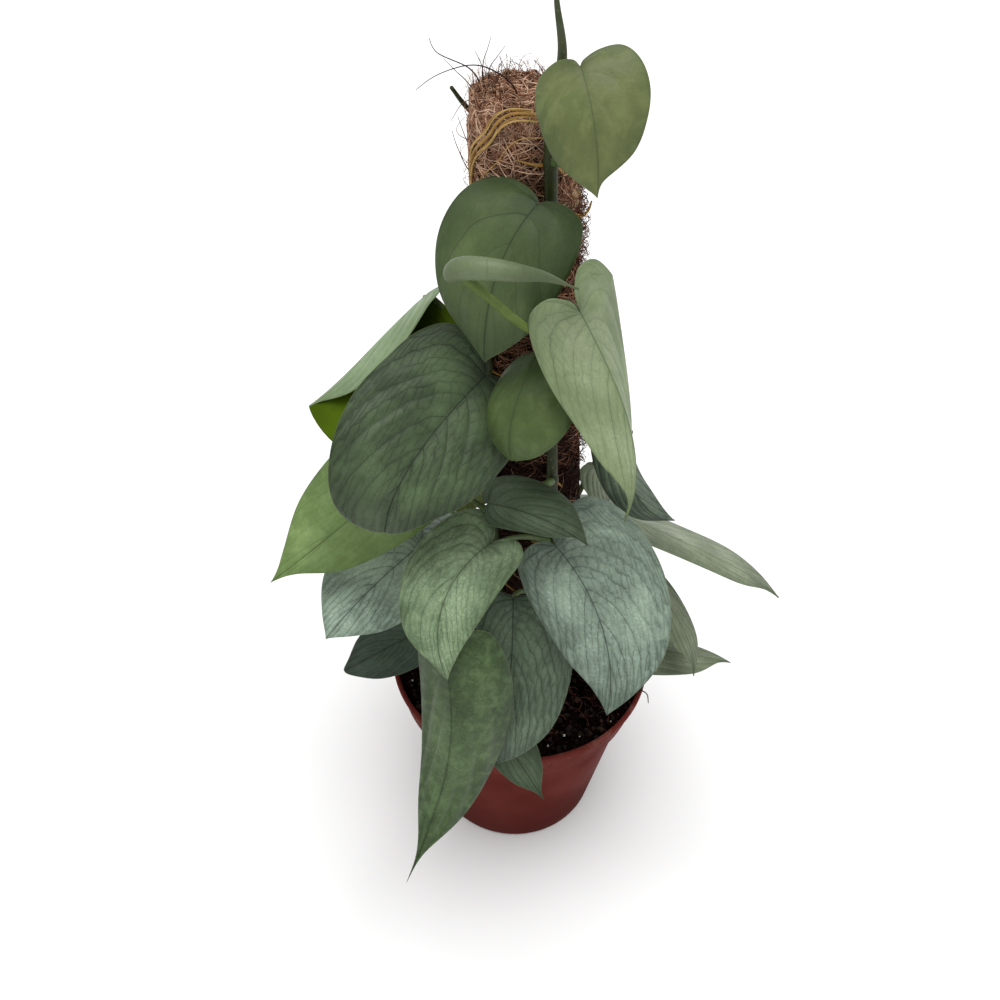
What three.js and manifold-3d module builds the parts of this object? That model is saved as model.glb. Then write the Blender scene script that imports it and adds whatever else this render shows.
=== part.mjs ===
// A potted climbing aroid with silvery heart-shaped leaves on a coir pole.
// Millimetres, +Z up. The origin is the middle of the pot's flat base, and the plant shows its face to -Y.

import * as THREE from 'three';
import { mergeVertices } from 'three/addons/utils/BufferGeometryUtils.js';
import Module from 'manifold-3d';

const wasm = await Module();
wasm.setup();

// Driving dimensions of the pot, a 15 cm nursery pot
const POT_HEIGHT = 126.5;
const POT_BASE_RADIUS = 51.7;
const POT_SHOULDER_RADIUS = 66.6;
const POT_COLLAR_RADIUS = 70.1;
const POT_RIM_RADIUS = 75;
const POT_COLLAR_HEIGHT = 24.3;
const POT_LIP_HEIGHT = 4;
const POT_WALL = 1.8;
const POT_FLOOR = 2.4;
const POT_FOOT_ROUND = 2.5;
const POT_SIDES = 32;
const DRAIN_HOLES = 8;
const DRAIN_RADIUS = 4;
const DRAIN_CIRCLE = 39;

// Soil, nearly level with the rim
const SOIL_BELOW_RIM = 3;
const SOIL_BUMP = 1.2;

// Touching pieces keep this much air between them
const GAP = 0.3;

// Coir pole, which leans to the left
const POLE_RADIUS = 20.2;
const POLE_TOP = 453;
const POLE_FOOT = 22;
const POLE_X_AT_RIM = 14;
const POLE_X_AT_TOP = -12;
const POLE_RELIEF = 0.7;
const POLE_DOME = 1.5;
const POLE_RINGS = 20;
const POLE_SIDES = 18;

// Stems and leaf stalks
const VINE_RADIUS = 2.7;
const VINE_DEPTH_IN_SOIL = 14;
const VINE_FROM_POLE = POLE_RADIUS + POLE_RELIEF + VINE_RADIUS + GAP;
const VINE_STEPS = 16;
const VINE_SIDES = 6;
const STALK_RADIUS = 1.5;
const STALK_RISE = 0.8;
const STALK_STEPS = 6;
const STALK_SIDES = 5;
const CUT_STALK = [[-33, 10, 445], [-37.5, 0, 455.5]];
const CUT_STALK_RADIUS = 1.3;
const SPIKE_RADIUS = 2.4;
const SPIKE_COURSE = [[1, -22, 475], [-2, -20, 493], [-4, -19, 511]];

// The young rolled leaf: its stalk from the front stem, and its blade, which lies across the upper left leaf
const ROLLED_STALK_NODE = 350;
const ROLLED_STALK_RADIUS = 1.7;
const ROLLED_BLADE_RADIUS = 4.3;
const ROLLED_STALK = [[5, -39, 371], [-1, -56.5, 388], [-9, -66.5, 399], [-20, -76, 415], [-31, -79, 427]];
const ROLLED_BLADE = [
  [-34, -77, 424], [-30, -79, 428], [-21, -82, 430], [-11, -82, 429], [-2, -79, 426], [9, -74, 419],
];

// Air roots over the pole's top, as bearing in degrees and height
const AIR_ROOT_RADIUS = 0.9;
const AIR_ROOT_COURSE = [
  [-75, 452], [-92, 452.5], [-106, 451], [-117, 447.5], [-128, 443], [-142, 437], [-154, 429], [-162, 418], [-165, 402],
];

// Leaf blades
const BLADE_THICKNESS = 0.9;
const BLADE_ROWS = 9;
const BLADE_COLUMNS = 3;
const FAN_ROWS = 2;
const WAVE_HEIGHT = 1.2;
const WAVE_TURNS = 1.6;

// How far a leaf's lobes reach back, in leaf lengths, and how pointed its tip is, unless the leaf says more
const LOBE = 0.15;
const POINT = 0.2;

const GREY_GREEN = { color: 0x7f9a80, roughness: 0.6, metalness: 0 };
const YOUNG_GREEN = { color: 0x8aa05c, roughness: 0.5, metalness: 0 };
const STEM_GREEN = { color: 0x55703c, roughness: 0.55, metalness: 0 };
const TERRACOTTA = { color: 0x7a332b, roughness: 0.45, metalness: 0 };
const SOIL_BROWN = { color: 0x2a1c17, roughness: 1, metalness: 0 };
const COIR_BROWN = { color: 0x8a5b43, roughness: 1, metalness: 0 };
const ROOT_GOLD = { color: 0xa77a42, roughness: 0.8, metalness: 0 };

const plant = new THREE.Group();

// Adds a named piece with its own material.
function addPiece(name, geometry, finish) {
  const mesh = new THREE.Mesh(geometry, new THREE.MeshStandardMaterial(finish));
  mesh.name = name;
  plant.add(mesh);
  return mesh;
}

// Six times the signed volume that a closed geometry's faces enclose.
function signedVolume(positions, indices) {
  let sum = 0;
  const [a, b, c] = [new THREE.Vector3(), new THREE.Vector3(), new THREE.Vector3()];
  for (let i = 0; i < indices.length; i += 3) {
    a.fromArray(positions, 3 * indices[i]);
    b.fromArray(positions, 3 * indices[i + 1]);
    c.fromArray(positions, 3 * indices[i + 2]);
    sum += a.dot(b.cross(c));
  }
  return sum;
}

// A closed geometry as a solid whose faces look outwards.
function solidOf(geometry) {
  const bare = geometry.clone();
  bare.deleteAttribute('normal');
  bare.deleteAttribute('uv');
  const merged = mergeVertices(bare, 1e-4);
  const vertProperties = new Float32Array(merged.attributes.position.array);
  const triVerts = new Uint32Array(merged.index.array);
  if (signedVolume(vertProperties, triVerts) < 0) {
    for (let i = 0; i < triVerts.length; i += 3) {
      [triVerts[i + 1], triVerts[i + 2]] = [triVerts[i + 2], triVerts[i + 1]];
    }
  }
  return new wasm.Manifold(new wasm.Mesh({ numProp: 3, vertProperties, triVerts }));
}

// A solid's faces as a geometry.
function geometryOf(solid) {
  const mesh = solid.getMesh();
  const geometry = new THREE.BufferGeometry();
  geometry.setAttribute('position', new THREE.BufferAttribute(new Float32Array(mesh.vertProperties), 3));
  geometry.setIndex(new THREE.BufferAttribute(new Uint32Array(mesh.triVerts), 1));
  return geometry;
}

// A lathe profile of [radius, height] points, turned about Z.
function turned(profile, sides) {
  const points = profile.map(([radius, height]) => new THREE.Vector2(radius, height));
  return new THREE.LatheGeometry(points, sides).rotateX(Math.PI / 2);
}

// A tube with an even radius and flat ends along a curve.
function tube(curve, radius, steps, sides) {
  const section = new THREE.Shape();
  for (let k = 0; k < sides; k += 1) {
    const angle = (2 * Math.PI * k) / sides;
    const point = [radius * Math.cos(angle), radius * Math.sin(angle)];
    if (k === 0) section.moveTo(...point);
    else section.lineTo(...point);
  }
  section.closePath();
  return new THREE.ExtrudeGeometry(section, { steps, bevelEnabled: false, extrudePath: curve });
}

// A tube that narrows to a rounded point; radiusAt gives its radius from 0 at the foot to 1 at the tip.
function spindle(curve, radiusAt, steps, sides) {
  const frames = curve.computeFrenetFrames(steps, false);
  const positions = [];
  const indices = [];
  const foot = curve.getPoint(0);
  positions.push(...foot.toArray());
  for (let i = 0; i < steps; i += 1) {
    const centre = curve.getPoint(i / steps);
    const radius = radiusAt(i / steps);
    for (let k = 0; k < sides; k += 1) {
      const angle = (2 * Math.PI * k) / sides;
      const point = centre.clone();
      point.addScaledVector(frames.normals[i], radius * Math.cos(angle));
      point.addScaledVector(frames.binormals[i], radius * Math.sin(angle));
      positions.push(...point.toArray());
    }
  }
  positions.push(...curve.getPoint(1).toArray());
  const tip = positions.length / 3 - 1;
  for (let k = 0; k < sides; k += 1) {
    const next = (k + 1) % sides;
    indices.push(0, 1 + next, 1 + k);
    for (let i = 0; i < steps - 1; i += 1) {
      const here = 1 + i * sides;
      const there = here + sides;
      indices.push(here + k, here + next, there + next);
      indices.push(here + k, there + next, there + k);
    }
    const last = 1 + (steps - 1) * sides;
    indices.push(last + k, last + next, tip);
  }
  const geometry = new THREE.BufferGeometry();
  geometry.setAttribute('position', new THREE.Float32BufferAttribute(positions, 3));
  geometry.setIndex(indices);
  return geometry;
}

// The pole's middle at a height; the pole leans in the X-Z plane only.
function poleX(height) {
  const lean = (POLE_X_AT_TOP - POLE_X_AT_RIM) / (POLE_TOP - POT_HEIGHT);
  return POLE_X_AT_RIM + lean * (height - POT_HEIGHT);
}

// A point at a distance from the pole's middle, at a bearing in radians and a height.
function aroundPole(bearing, height, reach) {
  return new THREE.Vector3(poleX(height) + reach * Math.cos(bearing), reach * Math.sin(bearing), height);
}

// The climbing stems, each at its own bearing round the pole; 0 looks along +X and -90 towards the front.
const VINES = {
  vine_front: { bearingAtSoil: -78, bearingAtTop: -64, top: 452 },
  vine_left: { bearingAtSoil: -172, bearingAtTop: -140, top: 372 },
  vine_right: { bearingAtSoil: 40, bearingAtTop: 50, top: 392 },
  vine_back: { bearingAtSoil: 98, bearingAtTop: 126, top: 436 },
};

// The middle of a climbing stem at a height.
function vinePoint(vine, height) {
  const share = (height - POT_HEIGHT) / (vine.top - POT_HEIGHT);
  const bearing = THREE.MathUtils.degToRad(
    vine.bearingAtSoil + (vine.bearingAtTop - vine.bearingAtSoil) * share,
  );
  return aroundPole(bearing, height, VINE_FROM_POLE);
}

// A climbing stem's course, from its foot in the soil to its top.
function vineCurve(vine) {
  const points = [];
  const foot = POT_HEIGHT - SOIL_BELOW_RIM - VINE_DEPTH_IN_SOIL;
  const steps = 12;
  for (let i = 0; i <= steps; i += 1) {
    points.push(vinePoint(vine, foot + ((vine.top - foot) * i) / steps));
  }
  return new THREE.CatmullRomCurve3(points);
}

// Half of a leaf's outline, from the notch round the lobe to the tip.
// Across is in half widths and along is in leaf lengths; share runs from 0 at the notch to 1 at the tip.
function halfOutline(share, lobe, point) {
  const corners = [
    [0, 0],
    [0.08, -0.55 * lobe],
    [0.36, -lobe],
    [0.74, -0.72 * lobe],
    [0.96, 0.08],
    [1, 0.27],
    [0.93 - 0.15 * point, 0.47],
    [0.72 - 0.3 * point, 0.68],
    [0.3 - 0.5 * point, 0.87],
    [0, 1],
  ];
  const place = share * (corners.length - 1);
  const index = Math.min(Math.floor(place), corners.length - 2);
  const part = place - index;
  const corner = (k) => corners[Math.min(Math.max(k, 0), corners.length - 1)];
  return [0, 1].map((axis) => {
    const [p0, p1, p2, p3] = [-1, 0, 1, 2].map((k) => corner(index + k)[axis]);
    const bend = 2 * p0 - 5 * p1 + 4 * p2 - p3;
    const twist = 3 * (p1 - p2) + p3 - p0;
    return 0.5 * (2 * p1 + (p2 - p0) * part + bend * part ** 2 + twist * part ** 3);
  });
}

// Where a blade's surface lies at a distance from its midrib, as [out, up].
// fold is the slope at the midrib, roll what is added to it towards the tip, and cup an even bend, in degrees.
function crossSection(distance, halfWidth, share, { fold = 0, cup = 0, roll = 0 }) {
  const steps = 12;
  let out = 0;
  let up = 0;
  for (let k = 0; k < steps; k += 1) {
    const reach = ((k + 0.5) / steps) * (distance / halfWidth);
    const slope = THREE.MathUtils.degToRad(fold + roll * share + cup * reach);
    out += (distance / steps) * Math.cos(slope);
    up += (distance / steps) * Math.sin(slope);
  }
  return [out, up];
}

// A leaf's midrib with the directions across and above it, at a share of its length; below 0 are the lobes.
function midribFrame(leaf) {
  const base = new THREE.Vector3(...leaf.base);
  const tip = new THREE.Vector3(...leaf.tip);
  const ahead = tip.clone().sub(base);
  const length = ahead.length();
  ahead.normalize();
  const right = ahead.clone().cross(new THREE.Vector3(...leaf.face)).normalize();
  const above = right.clone().cross(ahead);
  const [rise, drop] = leaf.arch ?? [0.08, 0.1];
  const bow = (leaf.bow ?? 0) / 0.75;
  const control = (share, lift) => base.clone().addScaledVector(ahead, share * length)
    .addScaledVector(above, lift * length).addScaledVector(right, bow * length);
  const curve = new THREE.CubicBezierCurve3(base, control(0.33, rise), control(0.72, drop), tip);
  return (share) => {
    const place = Math.max(share, 0);
    const middle = curve.getPoint(place);
    const tangent = curve.getTangent(Math.max(place, 0.001));
    if (share < 0) middle.addScaledVector(tangent, share * length);
    const across = right.clone().addScaledVector(tangent, -right.dot(tangent)).normalize();
    return { middle, tangent, across, up: across.clone().cross(tangent), length };
  };
}

// A point of a blade's middle surface; side is -1 or 1, row runs from notch to tip, column from midrib to margin.
function bladePoint(leaf, frameAt, side, row, column) {
  const profile = { ...(leaf.both ?? {}), ...((side < 0 ? leaf.left : leaf.right) ?? {}) };
  const halfWidth = leaf.width * (0.5 + side * (leaf.skew ?? 0));
  const [across, along] = halfOutline(row, profile.lobe ?? LOBE, profile.point ?? POINT);
  const start = row <= FAN_ROWS / BLADE_ROWS + 1e-6 ? 0 : row ** 2.6;
  const distance = halfWidth * across * column;
  const place = start + (along - start) * column ** 1.4;
  const { middle, across: sideways, up } = frameAt(place);
  const [out, rise] = crossSection(distance, halfWidth, Math.max(along, 0), profile);
  const ripple = WAVE_HEIGHT * Math.sin(2 * Math.PI * (WAVE_TURNS * row + 0.3 * side))
    * Math.sin(Math.PI * row) * column ** 2;
  return middle.addScaledVector(sideways, side * out).addScaledVector(up, rise + ripple);
}

// A leaf blade: one surface with the same triangles on its upper and lower face, and a rim between them.
function bladeGeometry(leaf) {
  const frameAt = midribFrame(leaf);
  const points = [];
  const indexOf = new Map();
  const vertex = (side, i, j) => {
    let key = `${side},${i},${j}`;
    if (i === 0 || (j === 0 && i <= FAN_ROWS)) key = 'notch';
    else if (i === BLADE_ROWS) key = 'tip';
    else if (j === 0) key = `midrib,${i}`;
    if (!indexOf.has(key)) {
      indexOf.set(key, points.length);
      points.push(bladePoint(leaf, frameAt, side, i / BLADE_ROWS, j / BLADE_COLUMNS));
    }
    return indexOf.get(key);
  };
  const faces = [];
  const addFace = (a, b, c) => {
    if (a !== b && b !== c && c !== a) faces.push([a, b, c]);
  };
  const margins = { '-1': [], 1: [] };
  for (const side of [-1, 1]) {
    for (let i = 0; i < BLADE_ROWS; i += 1) {
      for (let j = 0; j < BLADE_COLUMNS; j += 1) {
        const near = vertex(side, i, j);
        const far = vertex(side, i, j + 1);
        const nearNext = vertex(side, i + 1, j);
        const farNext = vertex(side, i + 1, j + 1);
        if (side > 0) {
          addFace(near, far, farNext);
          addFace(near, farNext, nearNext);
        } else {
          addFace(near, farNext, far);
          addFace(near, nearNext, farNext);
        }
      }
    }
    for (let i = 0; i <= BLADE_ROWS; i += 1) margins[side].push(vertex(side, i, BLADE_COLUMNS));
  }
  const normals = points.map(() => new THREE.Vector3());
  for (const face of faces) {
    const [a, b, c] = face.map((k) => points[k]);
    const normal = b.clone().sub(a).cross(c.clone().sub(a));
    for (const k of face) normals[k].add(normal);
  }
  const positions = [];
  for (const offset of [BLADE_THICKNESS / 2, -BLADE_THICKNESS / 2]) {
    points.forEach((point, k) => {
      const shifted = point.clone().addScaledVector(normals[k].normalize(), offset);
      positions.push(...shifted.toArray());
    });
  }
  const count = points.length;
  const indices = faces.flatMap(([a, b, c]) => [a, b, c, a + count, c + count, b + count]);
  const rim = [...margins[1], ...margins[-1].slice(1, -1).reverse()];
  rim.forEach((here, k) => {
    const next = rim[(k + 1) % rim.length];
    indices.push(here, here + count, next + count, here, next + count, next);
  });
  const geometry = new THREE.BufferGeometry();
  geometry.setAttribute('position', new THREE.Float32BufferAttribute(positions, 3));
  geometry.setIndex(indices);
  return geometry;
}

// A leaf stalk's course, from just clear of its stem to the underside of the blade's base.
function stalkCurve(leaf) {
  const { middle, tangent, up } = midribFrame(leaf)(0.03);
  const node = vinePoint(VINES[leaf.vine], leaf.node);
  const pole = new THREE.Vector3(poleX(leaf.node), 0, leaf.node);
  const towardsLeaf = middle.clone().sub(node).setZ(0).normalize();
  const awayFromPole = node.clone().sub(pole).setZ(0).normalize();
  const bearing = leaf.leave ? new THREE.Vector3(...leaf.leave) : towardsLeaf.add(awayFromPole);
  bearing.normalize();
  const span = node.distanceTo(middle);
  const leaving = bearing.clone().setZ(bearing.z + STALK_RISE).normalize();
  const start = node.clone().addScaledVector(bearing, VINE_RADIUS + GAP + STALK_RADIUS * leaving.z);
  const first = start.clone().addScaledVector(leaving, 0.4 * span);
  const second = middle.clone().addScaledVector(up, -0.3 * span).addScaledVector(tangent, -0.25 * span);
  return new THREE.CubicBezierCurve3(start, first, second, middle);
}

// Every heart leaf. node is the height on its stem where its stalk leaves it, base where the stalk meets the
// blade, and face the way the blade's upper side looks. width is the whole blade's, skew what its right half
// takes from its left one, bow how far the midrib bends to the right, and arch its two bends upwards. right
// and left shape the two halves, and both shapes the two alike. Lengths are millimetres and bends are degrees.
const LEAVES = [
  {
    name: 'leaf_top_right', vine: 'vine_front', finish: YOUNG_GREEN, node: 440,
    base: [6.5, -32, 476.5], tip: [14, -57, 444],
    face: [-0.16, -0.64, 0.65], width: 39.7, skew: -0.01, bow: -0.05, arch: [0.16, 0.01],
    right: { fold: -6, cup: -30, roll: -3, lobe: 0.16, point: -0.2 },
    left: { fold: 2, cup: -18, roll: -10, lobe: 0.09, point: 0.4 },
  },
  {
    name: 'leaf_upper_left', vine: 'vine_front', node: 402, base: [-5, -35, 429], tip: [-22.5, -55, 374.5],
    face: [-0.34, -0.66, 0.6], width: 53, skew: 0.05, bow: 0.05, arch: [0.23, 0.08],
    right: { fold: -1, cup: -13, roll: 11, lobe: 0.07, point: 0.1 },
    left: { fold: -3, cup: -29, roll: 7, lobe: 0.09, point: -0.2 },
  },
  {
    name: 'leaf_long_right', vine: 'vine_front', node: 364, base: [11.5, -61, 401.5], tip: [32.5, -95, 329.5],
    face: [0.27, -0.62, 0.55], width: 44.5, skew: 0.01, bow: -0.12, arch: [-0.15, 0.17],
    right: { cup: -20, roll: -2, lobe: 0.15, point: 0.4 },
    left: { fold: -14, cup: -19, roll: -73, lobe: 0.18 },
  },
  {
    name: 'leaf_small_round', vine: 'vine_front', finish: YOUNG_GREEN, node: 336,
    base: [-2, -46, 372], tip: [-11, -68, 336],
    face: [-0.44, -0.98, 0.4], width: 36.6, skew: -0.12, arch: [0.3, 0.39],
    right: { fold: -18, cup: -32, roll: 21, lobe: 0.03, point: -0.6 },
    left: { fold: 2, cup: -16, lobe: 0.09, point: -0.4 },
  },
  {
    name: 'leaf_folded_left', vine: 'vine_left', node: 344, base: [-48, -5, 371.5], tip: [-99, -33, 330.5],
    face: [0.02, 0.93, 0.38], width: 65.4, skew: 0.12, arch: [0.03, -0.07],
    right: { fold: -70, cup: -2, roll: -14, lobe: 0.05, point: -1 },
    left: { fold: -55, cup: -8, roll: -21, lobe: 0.1, point: 0.3 },
  },
  {
    name: 'leaf_large_left', vine: 'vine_left', node: 316, base: [-22, -42, 358], tip: [-61, -82, 305],
    face: [-0.07, -0.69, 0.76], width: 64, skew: 0.02, bow: 0.05, arch: [0.06, 0.42],
    right: { fold: 20, cup: -27, roll: 22, lobe: 0.04, point: -0.6 },
    left: { fold: -8, cup: -28, roll: 4, lobe: 0.05, point: 0.3 },
  },
  {
    name: 'leaf_pointed_left', vine: 'vine_left', finish: YOUNG_GREEN, node: 252,
    base: [-44, -18, 295], tip: [-119, -55, 245],
    face: [-0.38, -0.62, 0.62], width: 58, skew: 0.07, bow: -0.01, arch: [0.1, 0.01],
    right: { fold: 1, cup: -14, lobe: 0.13, point: 0 },
    left: { fold: 4, cup: -14, lobe: 0.11 },
  },
  {
    name: 'leaf_silver_left', vine: 'vine_left', node: 204, base: [-53, -20, 235], tip: [-96, -66, 216],
    face: [-0.12, -0.66, 0.8], width: 54, skew: 0.05, bow: 0.02, arch: [0.09, 0.06],
    right: { fold: -7, cup: -13, lobe: 0.13, point: -0.1 },
    left: { fold: -12, cup: -11, lobe: 0.13, point: -0.1 },
  },
  {
    name: 'leaf_dark_left', vine: 'vine_left', node: 156, base: [-52, -20, 169], tip: [-97, -43, 157],
    face: [-0.05, -0.56, 0.85], width: 35, skew: 0.02, arch: [0.07, 0.01],
    right: { fold: -1, cup: -18, lobe: 0.11, point: 0.1 },
    left: { fold: -11, cup: -8, roll: -6, lobe: 0.16, point: -0.1 },
  },
  {
    name: 'leaf_middle_heart', vine: 'vine_front', node: 246,
    base: [-19, -64, 283], tip: [-35, -109, 245], leave: [-0.8, -0.6, 0],
    face: [-0.11, -0.78, 0.72], width: 41, skew: 0.04, bow: 0.18, arch: [0.07, 0.09],
    right: { fold: 9, cup: -19, lobe: 0.13 },
    left: { fold: 1, cup: -28, lobe: 0.18, point: -0.2 },
  },
  {
    name: 'leaf_dark_middle', vine: 'vine_front', node: 286, base: [-20, -52, 296], tip: [22, -78, 299],
    face: [-0.16, -0.36, 0.8], width: 27, skew: -0.12, bow: -0.03, arch: [0.14, 0.15],
    right: { fold: -23, cup: -26, roll: -15, lobe: 0.04, point: 0.5 },
    left: { fold: -1, cup: -14, lobe: 0.14, point: -0.1 },
  },
  {
    name: 'leaf_silver_front', vine: 'vine_front', node: 232, base: [11, -52, 271], tip: [37, -104, 216],
    face: [-0.12, -0.78, 0.65], width: 61, skew: -0.08, bow: -0.12, arch: [0.06, 0.02],
    right: { fold: -5, cup: -10, roll: 6, lobe: 0.1, point: 0 },
    left: { fold: 3, cup: -18, lobe: 0.12, point: 0 },
  },
  {
    name: 'leaf_lower_front', vine: 'vine_front', node: 204, base: [-7, -53, 235], tip: [-12, -95, 157],
    face: [-0.07, -0.81, 0.5], width: 48, skew: -0.12, bow: -0.03, arch: [0.09, 0.11],
    right: { fold: 6, cup: -29, lobe: 0.03, point: 0.1 },
    left: { fold: 7, cup: -19, roll: 7, lobe: 0.02, point: -0.1 },
  },
  {
    name: 'leaf_hanging_front', vine: 'vine_left', node: 190, base: [-36, -98, 238], tip: [-54, -143, 125],
    face: [0.09, -0.98, 0.38], width: 49, skew: -0.12, bow: -0.08, arch: [0, -0.19],
    right: { fold: -37, cup: -10, lobe: 0.16, point: 0.4 },
    left: { fold: -3, cup: -26, roll: -10, lobe: 0.13, point: 0.4 },
  },
  {
    name: 'leaf_small_front', vine: 'vine_front', node: 150, base: [-16, -72, 163], tip: [13, -100, 131],
    face: [-0.03, -0.54, 0.7], width: 27, skew: -0.02, arch: [0.1, 0.02],
    right: { fold: -4, cup: -10, lobe: 0.19, point: 0.3 },
    left: { fold: 4, cup: -17, roll: -5, lobe: 0.13, point: 0.3 },
  },
  {
    name: 'leaf_folded_right', vine: 'vine_right', node: 286, base: [36, -14, 306], tip: [70, -20, 258],
    face: [-0.01, -0.89, 0.37], width: 30, skew: -0.06, bow: 0.11, arch: [0.2, 0.23],
    right: { fold: -1, cup: -30, roll: -5, lobe: 0.2, point: 0.3 },
    left: { fold: -60, cup: -19, lobe: 0.17, point: 0 },
  },
  {
    name: 'leaf_long_point_right', vine: 'vine_right', node: 212, base: [51, 0, 239], tip: [135, -11, 195],
    face: [0.1, 0.29, 0.92], width: 40, skew: -0.17, bow: 0.05, arch: [0.05, 0.08],
    right: { fold: -14, cup: -8, roll: -9, lobe: 0.13, point: 0.3 },
    left: { fold: -10, roll: 18, lobe: 0.04, point: -0.1 },
  },
  {
    name: 'leaf_lower_right', vine: 'vine_right', node: 178, base: [65, -8, 202], tip: [91, -45, 168],
    face: [0.38, -0.39, 0.75], width: 25, skew: 0.03, bow: -0.03, arch: [0.12, 0.19],
    right: { fold: -7, cup: -20, lobe: 0.08, point: 0.4 },
    left: { fold: -10, cup: -9, lobe: 0.15, point: 0.1 },
  },
  {
    name: 'leaf_lowest_right', vine: 'vine_right', node: 142, base: [59, -16, 154], tip: [115, -26, 155],
    face: [0.03, 0.05, 0.98], width: 29, skew: 0.03, bow: 0.04, arch: [0.07, 0.07],
    right: { fold: -17, cup: -21, roll: 8, lobe: 0.16, point: 0.4 },
    left: { fold: -15, cup: -3, lobe: 0.13, point: -0.1 },
  },
  {
    name: 'leaf_yellow_behind', vine: 'vine_right', finish: YOUNG_GREEN, node: 276,
    base: [24, 28, 300], tip: [36, 31, 264],
    face: [0.4, 0.75, 0.4], width: 30, both: { cup: -14 },
  },
  {
    name: 'leaf_pale_behind', vine: 'vine_right', node: 236, base: [33, 18, 258], tip: [43, 20, 231],
    face: [0.4, -0.6, 0.7], width: 24, both: { cup: -14 },
  },
  {
    name: 'leaf_back_top', vine: 'vine_back', node: 414, base: [-4, 44, 432], tip: [4, 68, 388],
    face: [0.1, 0.8, 0.5], width: 42, both: { fold: 4, cup: -16 },
  },
  {
    name: 'leaf_back_upper_left', vine: 'vine_back', node: 348, base: [-16, 46, 368], tip: [-24, 68, 322],
    face: [-0.3, 0.8, 0.5], width: 44, both: { fold: 4, cup: -18 },
  },
  {
    name: 'leaf_back_upper_right', vine: 'vine_right', node: 318, base: [18, 48, 326], tip: [30, 70, 276],
    face: [0.3, 0.8, 0.5], width: 46, both: { fold: 4, cup: -18 },
  },
  {
    name: 'leaf_back_middle_left', vine: 'vine_back', node: 292, base: [-26, 54, 318], tip: [-46, 88, 262],
    face: [-0.4, 0.75, 0.55], width: 62, both: { fold: 4, cup: -18 },
  },
  {
    name: 'leaf_back_middle_right', vine: 'vine_back', node: 240, base: [24, 58, 266], tip: [44, 92, 208],
    face: [0.4, 0.75, 0.55], width: 58, both: { fold: 4, cup: -18 },
  },
  {
    name: 'leaf_back_middle', vine: 'vine_back', node: 196, base: [-27, 36, 226], tip: [-37, 60, 176],
    face: [-0.2, 0.85, 0.45], width: 60, both: { fold: 4, cup: -10 },
  },
  {
    name: 'leaf_back_left', vine: 'vine_left', node: 226, base: [-60, 30, 238], tip: [-98, 62, 200],
    face: [-0.5, 0.5, 0.7], width: 44, both: { fold: 4, cup: -18 },
  },
  {
    name: 'leaf_back_low_left', vine: 'vine_back', node: 160, base: [-42, 58, 168], tip: [-74, 96, 136],
    face: [-0.4, 0.6, 0.7], width: 48, both: { fold: 4, cup: -18 },
  },
  {
    name: 'leaf_back_low_right', vine: 'vine_right', node: 160, base: [44, 58, 186], tip: [74, 96, 150],
    face: [0.4, 0.6, 0.7], width: 50, both: { fold: 4, cup: -18 },
  },
];

// The pot's wall, collar, lip and floor, with drain holes in the floor.
function potGeometry() {
  const shoulder = POT_HEIGHT - POT_COLLAR_HEIGHT;
  const inner = POT_WALL;
  const shell = turned([
    [0, 0],
    [POT_BASE_RADIUS - POT_FOOT_ROUND, 0],
    [POT_BASE_RADIUS - 0.3 * POT_FOOT_ROUND, 0.3 * POT_FOOT_ROUND],
    [POT_BASE_RADIUS + 0.3, POT_FOOT_ROUND],
    [POT_SHOULDER_RADIUS, shoulder - 1],
    [POT_COLLAR_RADIUS, shoulder + 1],
    [POT_RIM_RADIUS - 1, POT_HEIGHT - POT_LIP_HEIGHT],
    [POT_RIM_RADIUS, POT_HEIGHT - POT_LIP_HEIGHT + 0.6],
    [POT_RIM_RADIUS, POT_HEIGHT - 0.6],
    [POT_RIM_RADIUS - 0.6, POT_HEIGHT],
    [POT_RIM_RADIUS - 2.2, POT_HEIGHT],
    [POT_RIM_RADIUS - 1 - inner, POT_HEIGHT - POT_LIP_HEIGHT],
    [POT_COLLAR_RADIUS - inner, shoulder + 1 + inner],
    [POT_SHOULDER_RADIUS - inner, shoulder - 1 + inner],
    [POT_BASE_RADIUS - inner + 0.3, POT_FLOOR],
    [0, POT_FLOOR],
  ], POT_SIDES);
  let pot = solidOf(shell);
  for (let k = 0; k < DRAIN_HOLES; k += 1) {
    const angle = (2 * Math.PI * (k + 0.5)) / DRAIN_HOLES;
    const plug = new THREE.CylinderGeometry(DRAIN_RADIUS, DRAIN_RADIUS, 4 * POT_FLOOR, 12);
    plug.rotateX(Math.PI / 2);
    plug.translate(DRAIN_CIRCLE * Math.cos(angle), DRAIN_CIRCLE * Math.sin(angle), POT_FLOOR / 2);
    pot = pot.subtract(solidOf(plug));
  }
  return geometryOf(pot);
}

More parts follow.
